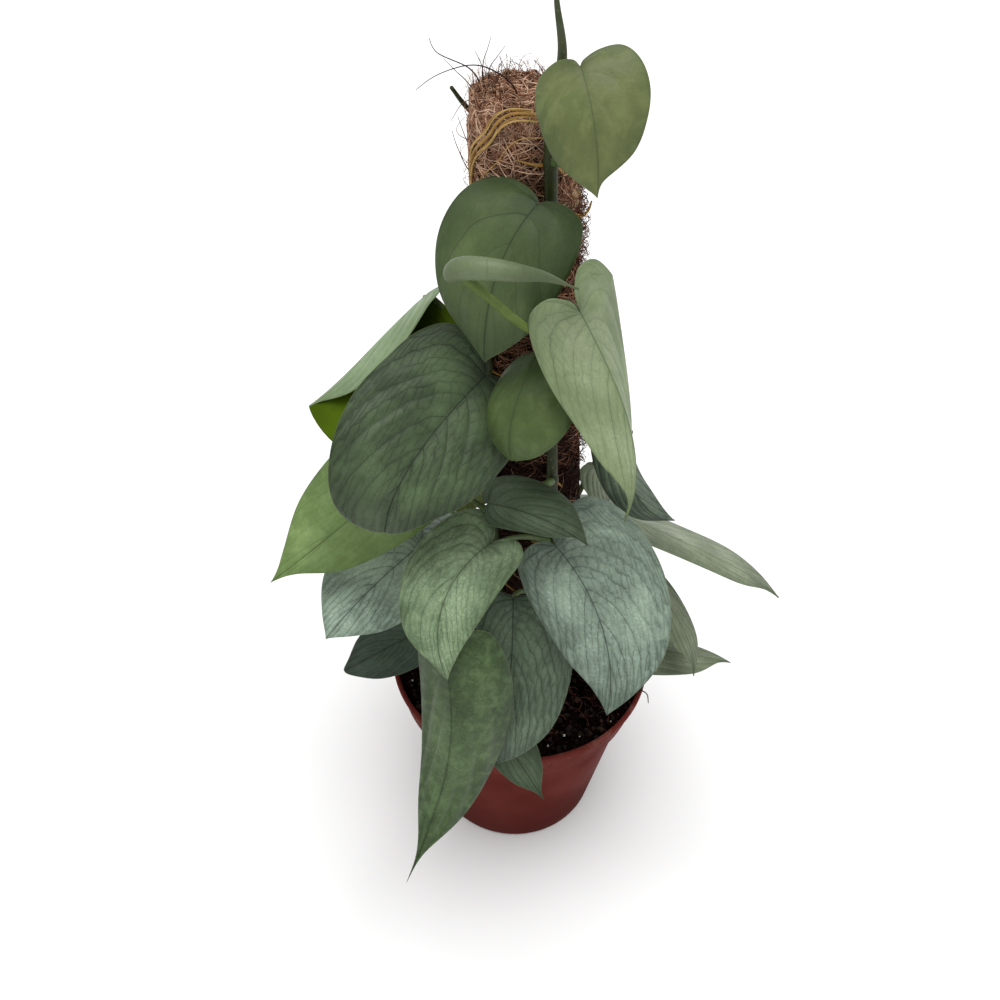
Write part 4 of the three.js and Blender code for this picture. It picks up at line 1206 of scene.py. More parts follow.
    def wiry_hairs(self) -> None:
        """Adds the dark wiry hairs that stand up at the top left, each given from its free end.

        Each hair has its y first, and then x and z of its points. The first two are thicker and darker.
        """
        hairs = (
            (4, (-45.6, 471.2), (-44.2, 467.8), (-41.4, 465.4), (-33.2, 462.2), (-30.1, 460.1), (-28, 457.3),
             (-26, 452)),
            (-6, (-49.9, 456.6), (-44.7, 460.7), (-39, 463.6), (-32.3, 465.7), (-27, 465.9), (-22.6, 464.5),
             (-18.1, 462), (-14.4, 458.2), (-12.5, 452.5)),
            (2, (-40.7, 465.3), (-36.3, 461), (-31.8, 456.9), (-28, 451.5)),
            (6, (-23.6, 471.5), (-24.8, 467.4), (-26.1, 463.4), (-26.5, 459), (-26.5, 452)),
            (6, (-18.5, 468.6), (-21.1, 465), (-23.6, 461.4), (-24.2, 458.1), (-23.8, 452)),
            (6, (-29.3, 466.5), (-27.4, 463), (-26.3, 459.2), (-26, 453)),
            (8, (-20.6, 464.3), (-18.1, 459.4), (-17.5, 455.8), (-17.4, 452)),
            (8, (-16.3, 464.4), (-16.9, 459.8), (-18.6, 456.1), (-19, 452)),
            (4, (-25.9, 460.6), (-22.7, 457.2), (-18.1, 455.1), (-16.5, 452.5)),
            (-6, (-37.1, 442.3), (-35.6, 437.1), (-32.3, 429.4), (-30, 426)),
            (-4, (-35.1, 446.8), (-32.4, 439.3), (-30, 434)),
            (2, (-37.9, 442.3), (-34.2, 448.4), (-30.8, 450.4), (-28.5, 450)),
            (10, (-7.8, 462.6), (-5.1, 459.8), (-3.5, 456.9), (-2, 452.5)),
        )
        steps = 26
        courses = np.stack([smooth_course([(x, y, z) for x, z in points], steps) for y, *points in hairs])
        thick = np.full((len(hairs), 1), 0.27)
        thick[:2] = 0.36
        shades = np.concatenate([[0.1, 0.05], np.linspace(0.3, 0.85, len(hairs) - 2)])
        radii = thick * np.linspace(0.35, 1, steps)
        settle(strands("coir_wiry_hairs", courses, radii, shades, Finish.WIRY, 5), "coir")

    def build(self) -> None:
        """Builds every layer of the pole."""
        self.core()
        self.strands("coir_strands", 11, 0.25)
        self.strands("coir_loose_strands", 15, 0.55)
        self.crown()
        self.hairs()
        self.wiry_hairs()


@dataclass
class PottingSoil:
    """Dark soil nearly level with the rim, with crumbs, white perlite and reddish coir threads on it."""

    pot: NurseryPot
    pole: CoirPole
    below_rim: float = 3.0
    radius: float = 70.8
    rows: int = 62
    sides: int = 120
    wall: tuple[Range, ...] = ((67.6, 105), (64.2, 101), (49.3, 3.0), (0, 3.0))
    crumb_count: int = 2400
    crumb_size: Range = (0.5, 2.0)
    perlite_count: int = 110
    perlite_size: Range = (0.45, 1.35)
    thread_count: int = 170
    thread_step: Range = (0.5, 1.6)
    thread_radius: Range = (0.1, 0.24)
    speck_count: int = 120
    speck_size: Range = (0.15, 0.6)

    def top(self, x: np.ndarray, y: np.ndarray) -> np.ndarray:
        """The soil's height.

        Args:
            x: Places to the right.
            y: Places to the back.

        Returns:
            The height of its top there.
        """
        lump = np.sin(0.31 * x + 0.6) * np.cos(0.27 * y - 0.4) + 0.6 * np.sin(0.19 * (x - y))
        edge = np.clip((np.hypot(x, y) - 66) / 6, 0, 1)
        return self.pot.height - self.below_rim + 1.2 * lump - 1.5 * edge**2

    def ground(self) -> None:
        """Builds the soil's body."""
        angle = circle(self.sides)
        reach = np.linspace(0, self.radius, self.rows)[:, None]
        x, y = reach * np.cos(angle), reach * np.sin(angle)
        flat = np.stack([x, y, 0 * x], axis=2)
        z = self.top(x, y) + (0.8 * ripples(flat, 6.0, 21) + 0.6 * ripples(flat, 2.6, 22))
        z[:, -1] = z[:, 0]
        wall = [(r * np.cos(angle), r * np.sin(angle), 0 * angle + height) for r, height in self.wall]
        rings = np.concatenate([np.stack([x, y, z], axis=2), np.stack(wall).transpose(0, 2, 1)])
        surface = Surface()
        surface.add(rings, grid_faces(*rings.shape[:2], flip=True))
        settle(surface.make("soil_body", [Finish.SOIL.material()]), "potting_soil", "soil")

    def scatter(self, count: int, seed: int, widest: float) -> tuple[np.ndarray, np.ndarray]:
        """Chooses free spots on the soil.

        Args:
            count: How many.
            seed: Chooses them.
            widest: The largest distance from the pot's middle.

        Returns:
            The spots, and a number from 0 to 1 for each.
        """
        draw = Draws(seed, 3 * count)
        reach = widest * np.sqrt(draw.even(0, 1))
        angle = draw.even(0, math.tau)
        x, y = reach * np.cos(angle), reach * np.sin(angle)
        free = np.hypot(x - self.pole.x_at_rim, y) > self.pole.radius + 1.5
        x, y = x[free][:count], y[free][:count]
        draw.count = len(x)
        return np.stack([x, y, self.top(x, y)], axis=1), draw.even(0, 1)

    def loose(self) -> None:
        """Strews crumbs and perlite."""
        spots, share = self.scatter(self.crumb_count, 31, 71.5)
        low, high = self.crumb_size
        sizes = (low + (high - low) * share**3) * np.random.default_rng(32).uniform(0.6, 1.3, spots.shape)
        spots[:, 2] += 0.3 * sizes.mean(axis=1)
        chunks("soil_crumbs", spots, sizes, 33, Finish.CRUMB)
        spots, share = self.scatter(self.perlite_count, 34, 69.0)
        spots[:, 2] += 0.6
        low, high = self.perlite_size
        sizes = (low + (high - low) * share**2) * np.ones(3)
        chunks("perlite_grains", spots, sizes, 35, Finish.PERLITE, smooth=True)

    def threads(self) -> None:
        """Lays the reddish threads."""
        spots, share = self.scatter(self.thread_count, 37, 64.0)
        draw, steps = Draws(36, len(spots)), 12
        heading = draw.even(0, PHASES) + draw.near(0, 1.6) * np.linspace(-1, 1, steps)
        step = draw.even(*self.thread_step)
        x = spots[:, :1] + np.cumsum(step * np.cos(heading), axis=1)
        y = spots[:, 1:2] + np.cumsum(step * np.sin(heading), axis=1)
        far = np.maximum(np.hypot(x, y) / 70.0, 1)
        x, y = x / far, y / far
        lift = draw.even(0.2, 2.6) * np.sin(np.linspace(0.1, 3.0, steps))
        courses = np.stack([x, y, self.top(x, y) + 0.4 + lift], axis=-1)
        piece = strands("soil_threads", courses, draw.even(*self.thread_radius), share, Finish.THREAD, 4)
        settle(piece, "potting_soil")

    def specks(self) -> None:
        """Sticks a few soil specks on the lip, and lets one dry curl hang over it."""
        draw = Draws(41, self.speck_count)
        angle = draw.even(0, math.tau)
        reach = self.pot.rim - draw.pick(1.2, 1.9, 2.4)
        height = self.pot.height + draw.even(-0.6, 0.1)
        centres = np.concatenate([reach * np.cos(angle), reach * np.sin(angle), height], axis=1)
        chunks("rim_specks", centres, draw.even(*self.speck_size) * np.array([[1, 1, 0.6]]), 42, Finish.CRUMB)
        points = [(66, -25, 125.3), (69.5, -27.2, 127.5), (72.8, -29.2, 126.4), (74.2, -30.4, 120)]
        curl = smooth_course(points, 26)
        radii = np.linspace(0.5, 0.25, len(curl))
        settle(strands("rim_curl", curl[None], radii, np.array([0.3]), Finish.WIRY, 6), "potting_soil")

    def build(self) -> None:
        """Builds the soil and all that lies on it."""
        self.ground()
        self.loose()
        self.threads()
        self.specks()


# ---------------------------------------------------------------- stems and leaves


@dataclass
class ClimbingStem:
    """A stem that climbs the pole, thicker at its nodes, with short roots that hold the coir."""

    stem: Stem
    pole: CoirPole
    nodes: list[float]
    radius: float = 2.7
    foot: float = 109.8
    reach: float = 23.9
    steps: int = 260

    def bearing(self, height: np.ndarray) -> np.ndarray:
        """The stem's bearing round the pole at heights, in radians."""
        low, high, top = self.stem.value
        return np.radians(low + (high - low) * ((height - self.pole.rim) / (top - self.pole.rim)))

    def middle(self, height: np.ndarray | float) -> np.ndarray:
        """The stem's middle at heights."""
        return self.pole.around(self.bearing(height), height, self.reach)

    def swell(self, height: np.ndarray) -> np.ndarray:
        """The stem's radius at heights, larger at each node."""
        radius = np.full(height.shape, self.radius - 0.15)
        for node in self.nodes:
            radius += 0.5 * bell(height, node - 1.5, 2.2) - 0.12 * bell(height, node + 3, 1.2)
        return radius

    def build(self) -> None:
        """Builds the stem, its roots and, on the back stem, the cut stalk."""
        heights = np.linspace(self.foot, self.stem.value[2], self.steps)
        course = self.middle(heights)
        surface = Surface("TubePlan")
        surface.tube(course, self.swell(heights), 18)
        if self.stem is Stem.BACK:
            stub = smooth_course([course[-4], (-33, 10, 445), (-37.5, 0, 455.5)], 24)
            surface.tube(stub, np.linspace(1.2, 0.75, len(stub)), 14)
        name = self.stem.name.lower()
        settle(surface.make(f"stem_{name}", [Finish.STEM.material()]), "green_stem", f"vine_{name}")
        self.roots(name)

    def roots(self, name: str) -> None:
        """Grows short roots from each node into the coir.

        Args:
            name: The stem's name.
        """
        chance = np.random.default_rng(len(name) + 50)
        given, steps, courses = 4, 14, []
        reach = np.linspace(22.6, 20.6, given) + np.array([0, 0.6, 0.5, 0])
        for node in self.nodes:
            if node > self.stem.value[2] - 6:
                continue
            for side in (-1, 1):
                spread = side * np.linspace(0.06, chance.uniform(0.3, 0.6), given)
                level = node - 3 + np.linspace(0, chance.uniform(-9, 3), given)
                course = self.pole.around(self.bearing(node) + spread, level, reach)
                courses.append(smooth_course(course, steps))
        radii, shades = np.linspace(0.75, 0.35, steps), chance.uniform(0, 0.7, len(courses))
        settle(strands(f"stem_{name}_roots", np.stack(courses), radii, shades, Finish.GOLDEN, 6), "air_root")


@dataclass(frozen=True)
class Half:
    """Half of a blade: slope at the midrib, what it gains to the margin and to the tip, and the outline."""

    fold: float = 0.0
    cup: float = 0.0
    roll: float = 0.0
    lobe: float = 0.15
    point: float = 0.2

    def outline(self, row: np.ndarray) -> np.ndarray:
        """The margin, from the notch round the lobe to the tip.

        Args:
            row: Shares of the way.

        Returns:
            How far across, in half widths, and along, in leaf lengths.
        """
        p = self.point
        corners = [
            (0, 0), (0.08, -0.55 * self.lobe), (0.36, -self.lobe), (0.74, -0.72 * self.lobe), (0.96, 0.08),
            (1, 0.27), (0.93 - 0.15 * p, 0.47), (0.72 - 0.3 * p, 0.68), (0.3 - 0.5 * p, 0.87), (0, 1),
        ]
        return spline(np.array([corners[0], *corners, corners[-1]]), row * (len(corners) - 1))


@dataclass(frozen=True)
class HeartLeaf:
    """A heart leaf with its stalk. Its numbers are those of the part's source, in millimetres and degrees."""

    name: str
    stem: Stem
    shade: Shade
    node: float
    base: Point
    tip: Point
    face: Point
    width: float
    skew: float = 0.0
    bow: float = 0.0
    arch: tuple[float, float] = (0.08, 0.1)
    leave: Point | None = None
    drip: float = 0.8
    right: Half = Half(fold=4, cup=-18)
    left: Half = Half(fold=4, cup=-18)

    ROWS = 74
    COLUMNS = 17
    FAN = 2 / 9
    FAN_POWER = 2.6
    SWEEP = 2.5
    SWEEP_POWER = 1.15
    SPREAD_POWER = 1.4
    THICKNESS = 0.8
    EDGE_THINNING = 0.42
    WAVE = 1.2
    DRIP_START = 0.93
    GROOVE = 0.28
    RIDGE = 0.75
    RIB_WIDTH = 1.0
    CALM_WIDTH = 6
    STALK_RADIUS = 1.35
    BOW_PEAK = 0.75
    SLOPE_STEPS = 12
    STALK_STEPS = 44
    STALK_SIDES = 14

    def fan(self, row: np.ndarray) -> np.ndarray:
        """Where rows start on the midrib, in leaf lengths; the rows of the lobes all start at 0."""
        return np.maximum(row**self.FAN_POWER - self.FAN**self.FAN_POWER, 0) / (1 - self.FAN**self.FAN_POWER)

    def midrib(self, share: np.ndarray) -> tuple[np.ndarray, np.ndarray, np.ndarray, np.ndarray]:
        """The midrib's course and the directions at it; below 0 are the lobes.

        Args:
            share: Shares of the leaf's length.

        Returns:
            Its middle, and the directions along, across and above it.
        """
        base, tip = np.array(self.base, float), np.array(self.tip, float)
        length = float(np.linalg.norm(tip - base))
        ahead = (tip - base) / length
        right = unit(np.cross(ahead, np.array(self.face, float)))
        above = np.cross(right, ahead)
        bow = self.bow / self.BOW_PEAK
        first = base + length * (0.33 * ahead + self.arch[0] * above + bow * right)
        second = base + length * (0.72 * ahead + self.arch[1] * above + bow * right)
        u = np.maximum(share, 0)[..., None]
        v = np.maximum(u, 0.001)
        slope = (1 - v) ** 2 * (first - base) + 2 * (1 - v) * v * (second - first) + v**2 * (tip - second)
        along = unit(slope)
        middle = bezier(base, first, second, tip, u) + along * np.minimum(share, 0)[..., None] * length
        across = upright(right, along)
        return middle, along, across, np.cross(across, along)

    def sheet(self, side: int) -> tuple[np.ndarray, np.ndarray, np.ndarray, np.ndarray]:
        """The middle surface of one half.

        Args:
            side: 1 for the right half, -1 for the left one.

        Returns:
            Its points as rows by columns, the distance from the midrib, the row and the column of each.
        """
        shape = self.right if side > 0 else self.left
        half = self.width * (0.5 + side * self.skew)
        rows, columns = np.linspace(0, 1, self.ROWS + 1), np.linspace(0, 1, self.COLUMNS + 1)
        row, column = np.meshgrid(rows, columns, indexing="ij")
        across, along = np.hsplit(shape.outline(rows), 2)
        start = self.fan(row)
        distance = half * across * column
        middle, ahead, sideways, up = self.midrib(start + (along - start) * column**self.SPREAD_POWER)
        out, rise = np.zeros_like(distance), np.zeros_like(distance)
        for step in range(self.SLOPE_STEPS):
            reach = (step + 0.5) / self.SLOPE_STEPS * distance / half
            slope = np.radians(shape.fold + shape.roll * np.maximum(along, 0) + shape.cup * reach)
            out += distance / self.SLOPE_STEPS * np.cos(slope)
            rise += distance / self.SLOPE_STEPS * np.sin(slope)
        rise += self.WAVE * np.sin(math.tau * (1.6 * row + 0.3 * side)) * np.sin(math.pi * row) * column**2
        drip = self.drip * np.maximum((row - self.DRIP_START) / (1 - self.DRIP_START), 0) ** 2
        middle = middle + ahead * drip[..., None]
        return middle + sideways * (side * out)[..., None] + up * rise[..., None], distance, row, column

    def course(self, row: np.ndarray, column: np.ndarray) -> np.ndarray:
        """A number that stays the same along each lateral vein, as it bends towards the tip.

        Args:
            row: Rows.
            column: Columns.

        Returns:
            The number, 0 at the notch and 1 at the tip.
        """
        return row - self.SWEEP * column**self.SWEEP_POWER * row**2 * (1 - row)

    def spacing(self, points: np.ndarray, number: np.ndarray) -> tuple[np.ndarray, np.ndarray, np.ndarray]:
        """Measures the half along and across its lateral veins.

        Args:
            points: The half's points.
            number: Their numbers of the course.

        Returns:
            Millimetres across the veins for a number of one, along them from the midrib, and to the margin.
        """
        down = np.gradient(points, axis=0) * self.ROWS
        over = np.gradient(points, axis=1) * self.COLUMNS
        by_row = np.maximum(np.gradient(number, axis=0) * self.ROWS, 0.05)
        by_column = np.gradient(number, axis=1) * self.COLUMNS
        course = over - down * (by_column / by_row)[..., None]
        vein = unit(course)
        beside = down - vein * np.sum(down * vein, axis=-1, keepdims=True)
        run = np.cumsum(np.linalg.norm(course, axis=-1), axis=1) / self.COLUMNS
        width = np.cumsum(np.linalg.norm(over, axis=-1), axis=1) / self.COLUMNS
        return np.linalg.norm(beside, axis=-1) / by_row, run - run[:, :1], width[:, -1:] - width

    def normals(self, points: np.ndarray, distance: np.ndarray, row: np.ndarray, side: int) -> np.ndarray:
        """The directions above one half, drawn to the midrib's own beside it.

        Args:
            points: The half's points.
            distance: Their distances from the midrib.
            row: Their rows.
            side: 1 for the right half, -1 for the left one.

        Returns:
            The directions.
        """
        crossed = np.cross(np.gradient(points, axis=1), np.gradient(points, axis=0))
        normal = unit(crossed * side)
        normal[np.linalg.norm(crossed, axis=-1) < 1e-4] = self.midrib(np.zeros(1))[3][0]
        spine = self.midrib(self.fan(row[:, 0]))[3]
        blend = bell(distance, 0, 1.2)[..., None]
        return unit(normal * (1 - blend) + spine[:, None] * blend)

    def blade(self, surface: Surface) -> None:
        """Adds the blade, with grooved veins above and raised ones below.

        Args:
            surface: Where it is added.
        """
        for side in (1, -1):
            points, distance, row, column = self.sheet(side)
            normal = self.normals(points, distance, row, side)
            number = self.course(row, column)
            between = np.abs(np.mod(number * self.shade.value.laterals + 0.5, 1) - 0.5)
            calm = np.clip(distance / self.CALM_WIDTH, 0, 1) * np.clip((1 - column) * 6, 0, 1)
            puff = self.shade.value.swell * calm * (np.clip(between * 2.6, 0, 1) - 0.6)
            rib = bell(distance, 0, self.RIB_WIDTH) * (1 - 0.8 * row**2)
            thick = self.THICKNESS - self.EDGE_THINNING * column**3
            upper = points + normal * (0.5 * thick + puff - self.GROOVE * rib)[..., None]
            lower = points - normal * (0.5 * thick - 0.7 * puff + self.RIDGE * rib)[..., None]
            gap, run, inset = self.spacing(points, number)
            plans = {
                "VeinPlan": np.stack([number, column], axis=2),
                "BladePlan": np.stack([distance * side, gap], axis=2) / PLAN_UNIT,
                "RunPlan": np.stack([run, inset], axis=2) / PLAN_UNIT,
            }
            faces = grid_faces(*row.shape, flip=side < 0)
            surface.add(upper, faces, 0, **plans)
            surface.add(lower, faces[:, ::-1], 1, **plans)
            edge = np.stack([upper[:, -1], lower[:, -1]], axis=1)
            tags = {key: np.repeat(plan[:, -1], 2, axis=0) for key, plan in plans.items()}
            surface.add(edge, grid_faces(len(edge), 2, flip=side < 0), 0, **tags)

    def stalk(self, surface: Surface, stem: ClimbingStem) -> None:
        """Adds the stalk, sheathed at its foot and thickened under the blade.

        Args:
            surface: Where it is added.
            stem: The stem that it leaves.
        """
        middle, along, _, up = (value[0] for value in self.midrib(np.array([0.03])))
        node = stem.middle(self.node)
        pole = np.array([stem.pole.axis(self.node), 0, self.node])
        level = np.array([1, 1, 0])
        between = unit((middle - node) * level) + unit((node - pole) * level)
        bearing = unit(np.array(self.leave or between, float))
        span = float(np.linalg.norm(middle - node))
        leaving = unit(bearing + np.array([0, 0, 0.8]))
        start = node + bearing * (2.9 + 1.5 * leaving[2] - 0.8)
        first = start + leaving * 0.4 * span
        second = middle - up * 0.3 * span - along * 0.25 * span
        share = np.linspace(0, 1, self.STALK_STEPS)
        course = bezier(start, first, second, middle - up * 0.5, share[:, None])
        sheath, neck = 0.75 * np.exp(-share / 0.07), 0.28 * bell(share, 0.93, 0.05)
        radius = self.STALK_RADIUS + sheath + neck - 0.2 * share
        surface.tube(course, radius, self.STALK_SIDES, slot=2)

    def build(self, stem: ClimbingStem) -> None:
        """Builds the leaf.

        Args:
            stem: The stem that it grows on.
        """
        surface = Surface("VeinPlan", "BladePlan", "RunPlan", "TubePlan")
        self.blade(surface)
        self.stalk(surface, stem)
        piece = surface.make(f"{self.name}_blade", [*self.shade.materials(), Finish.STALK.material()])
        settle(piece, "young_leaf" if self.shade.name.startswith("YOUNG") else "silver_leaf", self.name)


@dataclass
class YoungGrowth:
    """What is still rolled: the spike on the front stem, and the young leaf across the upper left one."""

    front: ClimbingStem
    spike: tuple[Point, ...] = ((1, -22, 475), (-2, -20, 493), (-4, -19, 511))
    stalk: tuple[Point, ...] = (
        (5, -39, 371), (-1, -56.5, 388), (-9, -66.5, 399), (-20, -76, 415), (-31, -79, 427),
    )
    blade: tuple[Point, ...] = (
        (-34, -77, 424), (-30, -79, 428), (-21, -82, 430), (-11, -82, 429), (-2, -79, 426), (9, -74, 419),
    )
    spike_foot: float = 452.4
    spike_radius: float = 2.4
    stalk_node: float = 350.0
    stalk_out: float = 4.2
    stalk_radius: float = 1.55
    stalk_sides: int = 16
    course_steps: int = 60
    blade_radius: float = 4.3
    blade_steps: int = 64
    round_steps: int = 40
    facing: Point = (0.0, -0.72, 0.69)

    def build_spike(self) -> None:
        """Builds the spike, one blade rolled round itself."""
        sides = 20
        course = smooth_course([self.front.middle(self.spike_foot), *self.spike], self.course_steps)
        share = np.linspace(0, 1, self.course_steps)
        radius = self.spike_radius * (1 - share) ** 0.9 + 0.02
        points, faces, plan = tubes(course[None], radius[None], sides)
        turn = plan[:, 0] * math.tau + 5 * plan[:, 1]
        ridge = 1 + 0.07 * bell(np.mod(turn, math.tau), 3.1, math.sqrt(0.1))
        centre = np.repeat(np.concatenate([course[:1], course, course[-1:]]), sides, axis=0)
        surface = Surface("TubePlan")
        surface.add(centre + (points - centre) * ridge[:, None], faces, TubePlan=plan)
        settle(surface.make("spike_blade", [Finish.SPIKE.material()]), "young_leaf", "new_leaf_spike")

    def add_stalk(self, surface: Surface) -> None:
        """Adds the rolled leaf's stalk.

        Args:
            surface: Where it is added.
        """
        node = self.front.middle(self.stalk_node)
        start = node + unit((np.array(self.stalk[0]) - node) * np.array([1, 1, 0])) * self.stalk_out
        course = smooth_course([start, *self.stalk], self.course_steps)
        share = np.linspace(0, 1, self.course_steps)
        radius = self.stalk_radius + 0.7 * np.exp(-share / 0.05) + 0.25 * bell(share, 0.97, 0.05)
        surface.tube(course, radius, self.stalk_sides, slot=2)

    def add_scroll(self, surface: Surface) -> None:
        """Adds the rolled blade, a scroll with an open edge.

        Args:
            surface: Where it is added.
        """
        spine = smooth_course(self.blade, self.blade_steps)
        along = unit(np.gradient(spine, axis=0))
        aside = unit(np.cross(along, unit(np.array(self.facing))))
        third = np.cross(aside, along)
        share = np.linspace(0, 1, self.blade_steps)[:, None]
        swell = np.abs(np.sin(math.pi * np.minimum(0.2 + 0.82 * share**0.75, 0.98))) ** 0.8
        turn = np.linspace(-2.2, math.tau - 0.9, self.round_steps)[None, :, None]
        radius = self.blade_radius * swell * np.linspace(0.78, 1.06, self.round_steps)
        ring = np.cos(turn) * aside[:, None] + np.sin(turn) * third[:, None]
        outer = spine[:, None] + ring * radius[..., None]
        inner = spine[:, None] + ring * np.maximum(radius - 0.45, 0.02)[..., None]
        length, across = np.broadcast_arrays(share, np.linspace(0.02, 1, self.round_steps))
        plans = {
            "VeinPlan": np.stack([length, across], axis=2),
            "BladePlan": np.stack([across * 0.2 + 0.02, 0.45 + 0 * across], axis=2),
            "RunPlan": np.stack([across * 0.25 + 0.15, (1 - across) * 0.25], axis=2),
        }
        surface.add(outer, grid_faces(*radius.shape), 0, **plans)
        surface.add(inner, grid_faces(*radius.shape, flip=True), 1, **plans)
        for column, flip in ((0, True), (-1, False)):
            edge = np.stack([outer[:, column], inner[:, column]], axis=1)
            surface.add(edge, grid_faces(len(edge), 2, flip=flip), 0)

    def build(self) -> None:
        """Builds both."""
        self.build_spike()
        surface = Surface("VeinPlan", "BladePlan", "RunPlan", "TubePlan")
        self.add_stalk(surface)
        self.add_scroll(surface)
        piece = surface.make("rolled_leaf_blade", [*Shade.ROLLED.materials(), Finish.OLIVE.material()])
        settle(piece, "young_leaf", "rolled_leaf")


@dataclass
class AirRoots:
    """Golden roots that wind over the pole's top, and the dry sheath at its right edge."""

    pole: CoirPole
    sheath_foot: float = 413.5
    sheath_length: float = 9.0
    sheath_thickness: float = 0.4
    tuft_count: int = 420
    tuft_low: Range = (284, 312)
    tuft_high: Range = (384, 424)
    tuft_radius: Range = (0.09, 0.2)

    def over_top(self) -> None:
        """Builds the roots round the pole's top, each beside one course and at its own distance."""
        bearing, height = np.array([
            (-75, 455.5), (-92, 456), (-104, 454.5), (-114, 451), (-122, 446.5), (-132, 442.5), (-144, 438),
            (-154, 432), (-161, 424), (-165, 408),
        ]).T
        roots = (  # degrees and millimetres beside the course, reach, and radius at both ends
            (0, 0, 21.6, 0.45, 0.72), (2.5, -1.3, 21.5, 0.32, 0.5), (-6, 0.9, 21.4, 0.25, 0.4),
            (8, -9, 21.3, 0.15, 0.25), (1, -2.6, 21.7, 0.35, 0.45), (-3, 1.4, 21.5, 0.22, 0.36),
        )
        steps, courses, radii = 70, [], []
        for shift, drop, reach, thin, thick in roots:
            around = self.pole.around(np.radians(bearing + shift), height + drop, reach)
            courses.append(smooth_course(around, steps))
            radii.append(np.linspace(thin, thick, steps) * np.clip(np.linspace(12, 0, steps), 0.3, 1))
        shades = 0.4 + 0.12 * np.arange(len(roots))
        piece = strands("air_root_strands", np.stack(courses), np.stack(radii), shades, Finish.GOLDEN, 10)
        settle(piece, "air_root", "air_roots")

    def sheath(self) -> None:
        """Builds the dry sheath at the pole's right edge."""
        rows = np.linspace(0, 1, 26)[:, None]
        turn = np.linspace(-1.3, 1.1, 22)[None]
        bulge = 2.4 * np.sin(math.pi * rows) ** 0.7
        bearing = math.radians(-20) + turn * 0.17
        reach = 20.4 + bulge * np.cos(turn) + 0.3 * np.sin(9 * turn)
        plan = np.stack(np.broadcast_arrays(0.5 + 0.4 * np.sin(7 * turn), rows), axis=2)
        surface = Surface("StrandPlan")
        for inward, flip in ((0, False), (self.sheath_thickness, True)):
            side = self.pole.around(bearing, self.sheath_foot + self.sheath_length * rows, reach - inward)
            surface.add(side, grid_faces(*reach.shape, flip=flip), StrandPlan=plan)
        settle(surface.make("dry_sheath", [Finish.SHEATH.material()]), "air_root")

    def side_root(self) -> None:
        """Builds the root that curves off the pole's right edge."""
        bearing = np.radians([-40, -27.5, -15, -5, -2, -2])
        level = np.array([415, 412.5, 409.5, 408.2, 410, 413.5])
        root = smooth_course(self.pole.around(bearing, level, np.array([20.6, 21.2, 22, 23.3, 25, 26])), 40)
        radii = np.linspace(0.75, 0.35, len(root))
        settle(strands("side_root", root[None], radii, np.array([0.6]), Finish.GOLDEN, 10), "air_root")

    def tuft(self) -> None:
        """Loosens curly fibres at the pole's right edge, near the sheath and again lower down."""
        draw = Draws(61, self.tuft_count)
        along = np.linspace(0, 1, 12)[None]
        low = draw.even(0, 1) < 0.3
        height = np.where(low, draw.even(*self.tuft_low), draw.even(*self.tuft_high))
        bearing = draw.near(-0.15, 0.4) + draw.near(0, 0.25) * along
        spin = draw.even(2, 6) * along + draw.even(0, PHASES)
        curl = draw.even(0.5, 2.0)
        reach = 20.2 + draw.even(0.8, 5.5) * np.sin(math.pi * along * 0.85) + 0.4 * curl * np.sin(spin)
        level = height + curl * np.cos(spin) + draw.near(0, 4) * along
        courses = self.pole.around(bearing, level, reach)
        radii, shades = draw.even(*self.tuft_radius), draw.share(1.5, 1.8)
        settle(strands("coir_tuft", courses, radii, shades, Finish.RUSTY), "coir")

    def build(self) -> None:
        """Builds them all."""
        self.over_top()
        self.sheath()
        self.side_root()
        self.tuft()


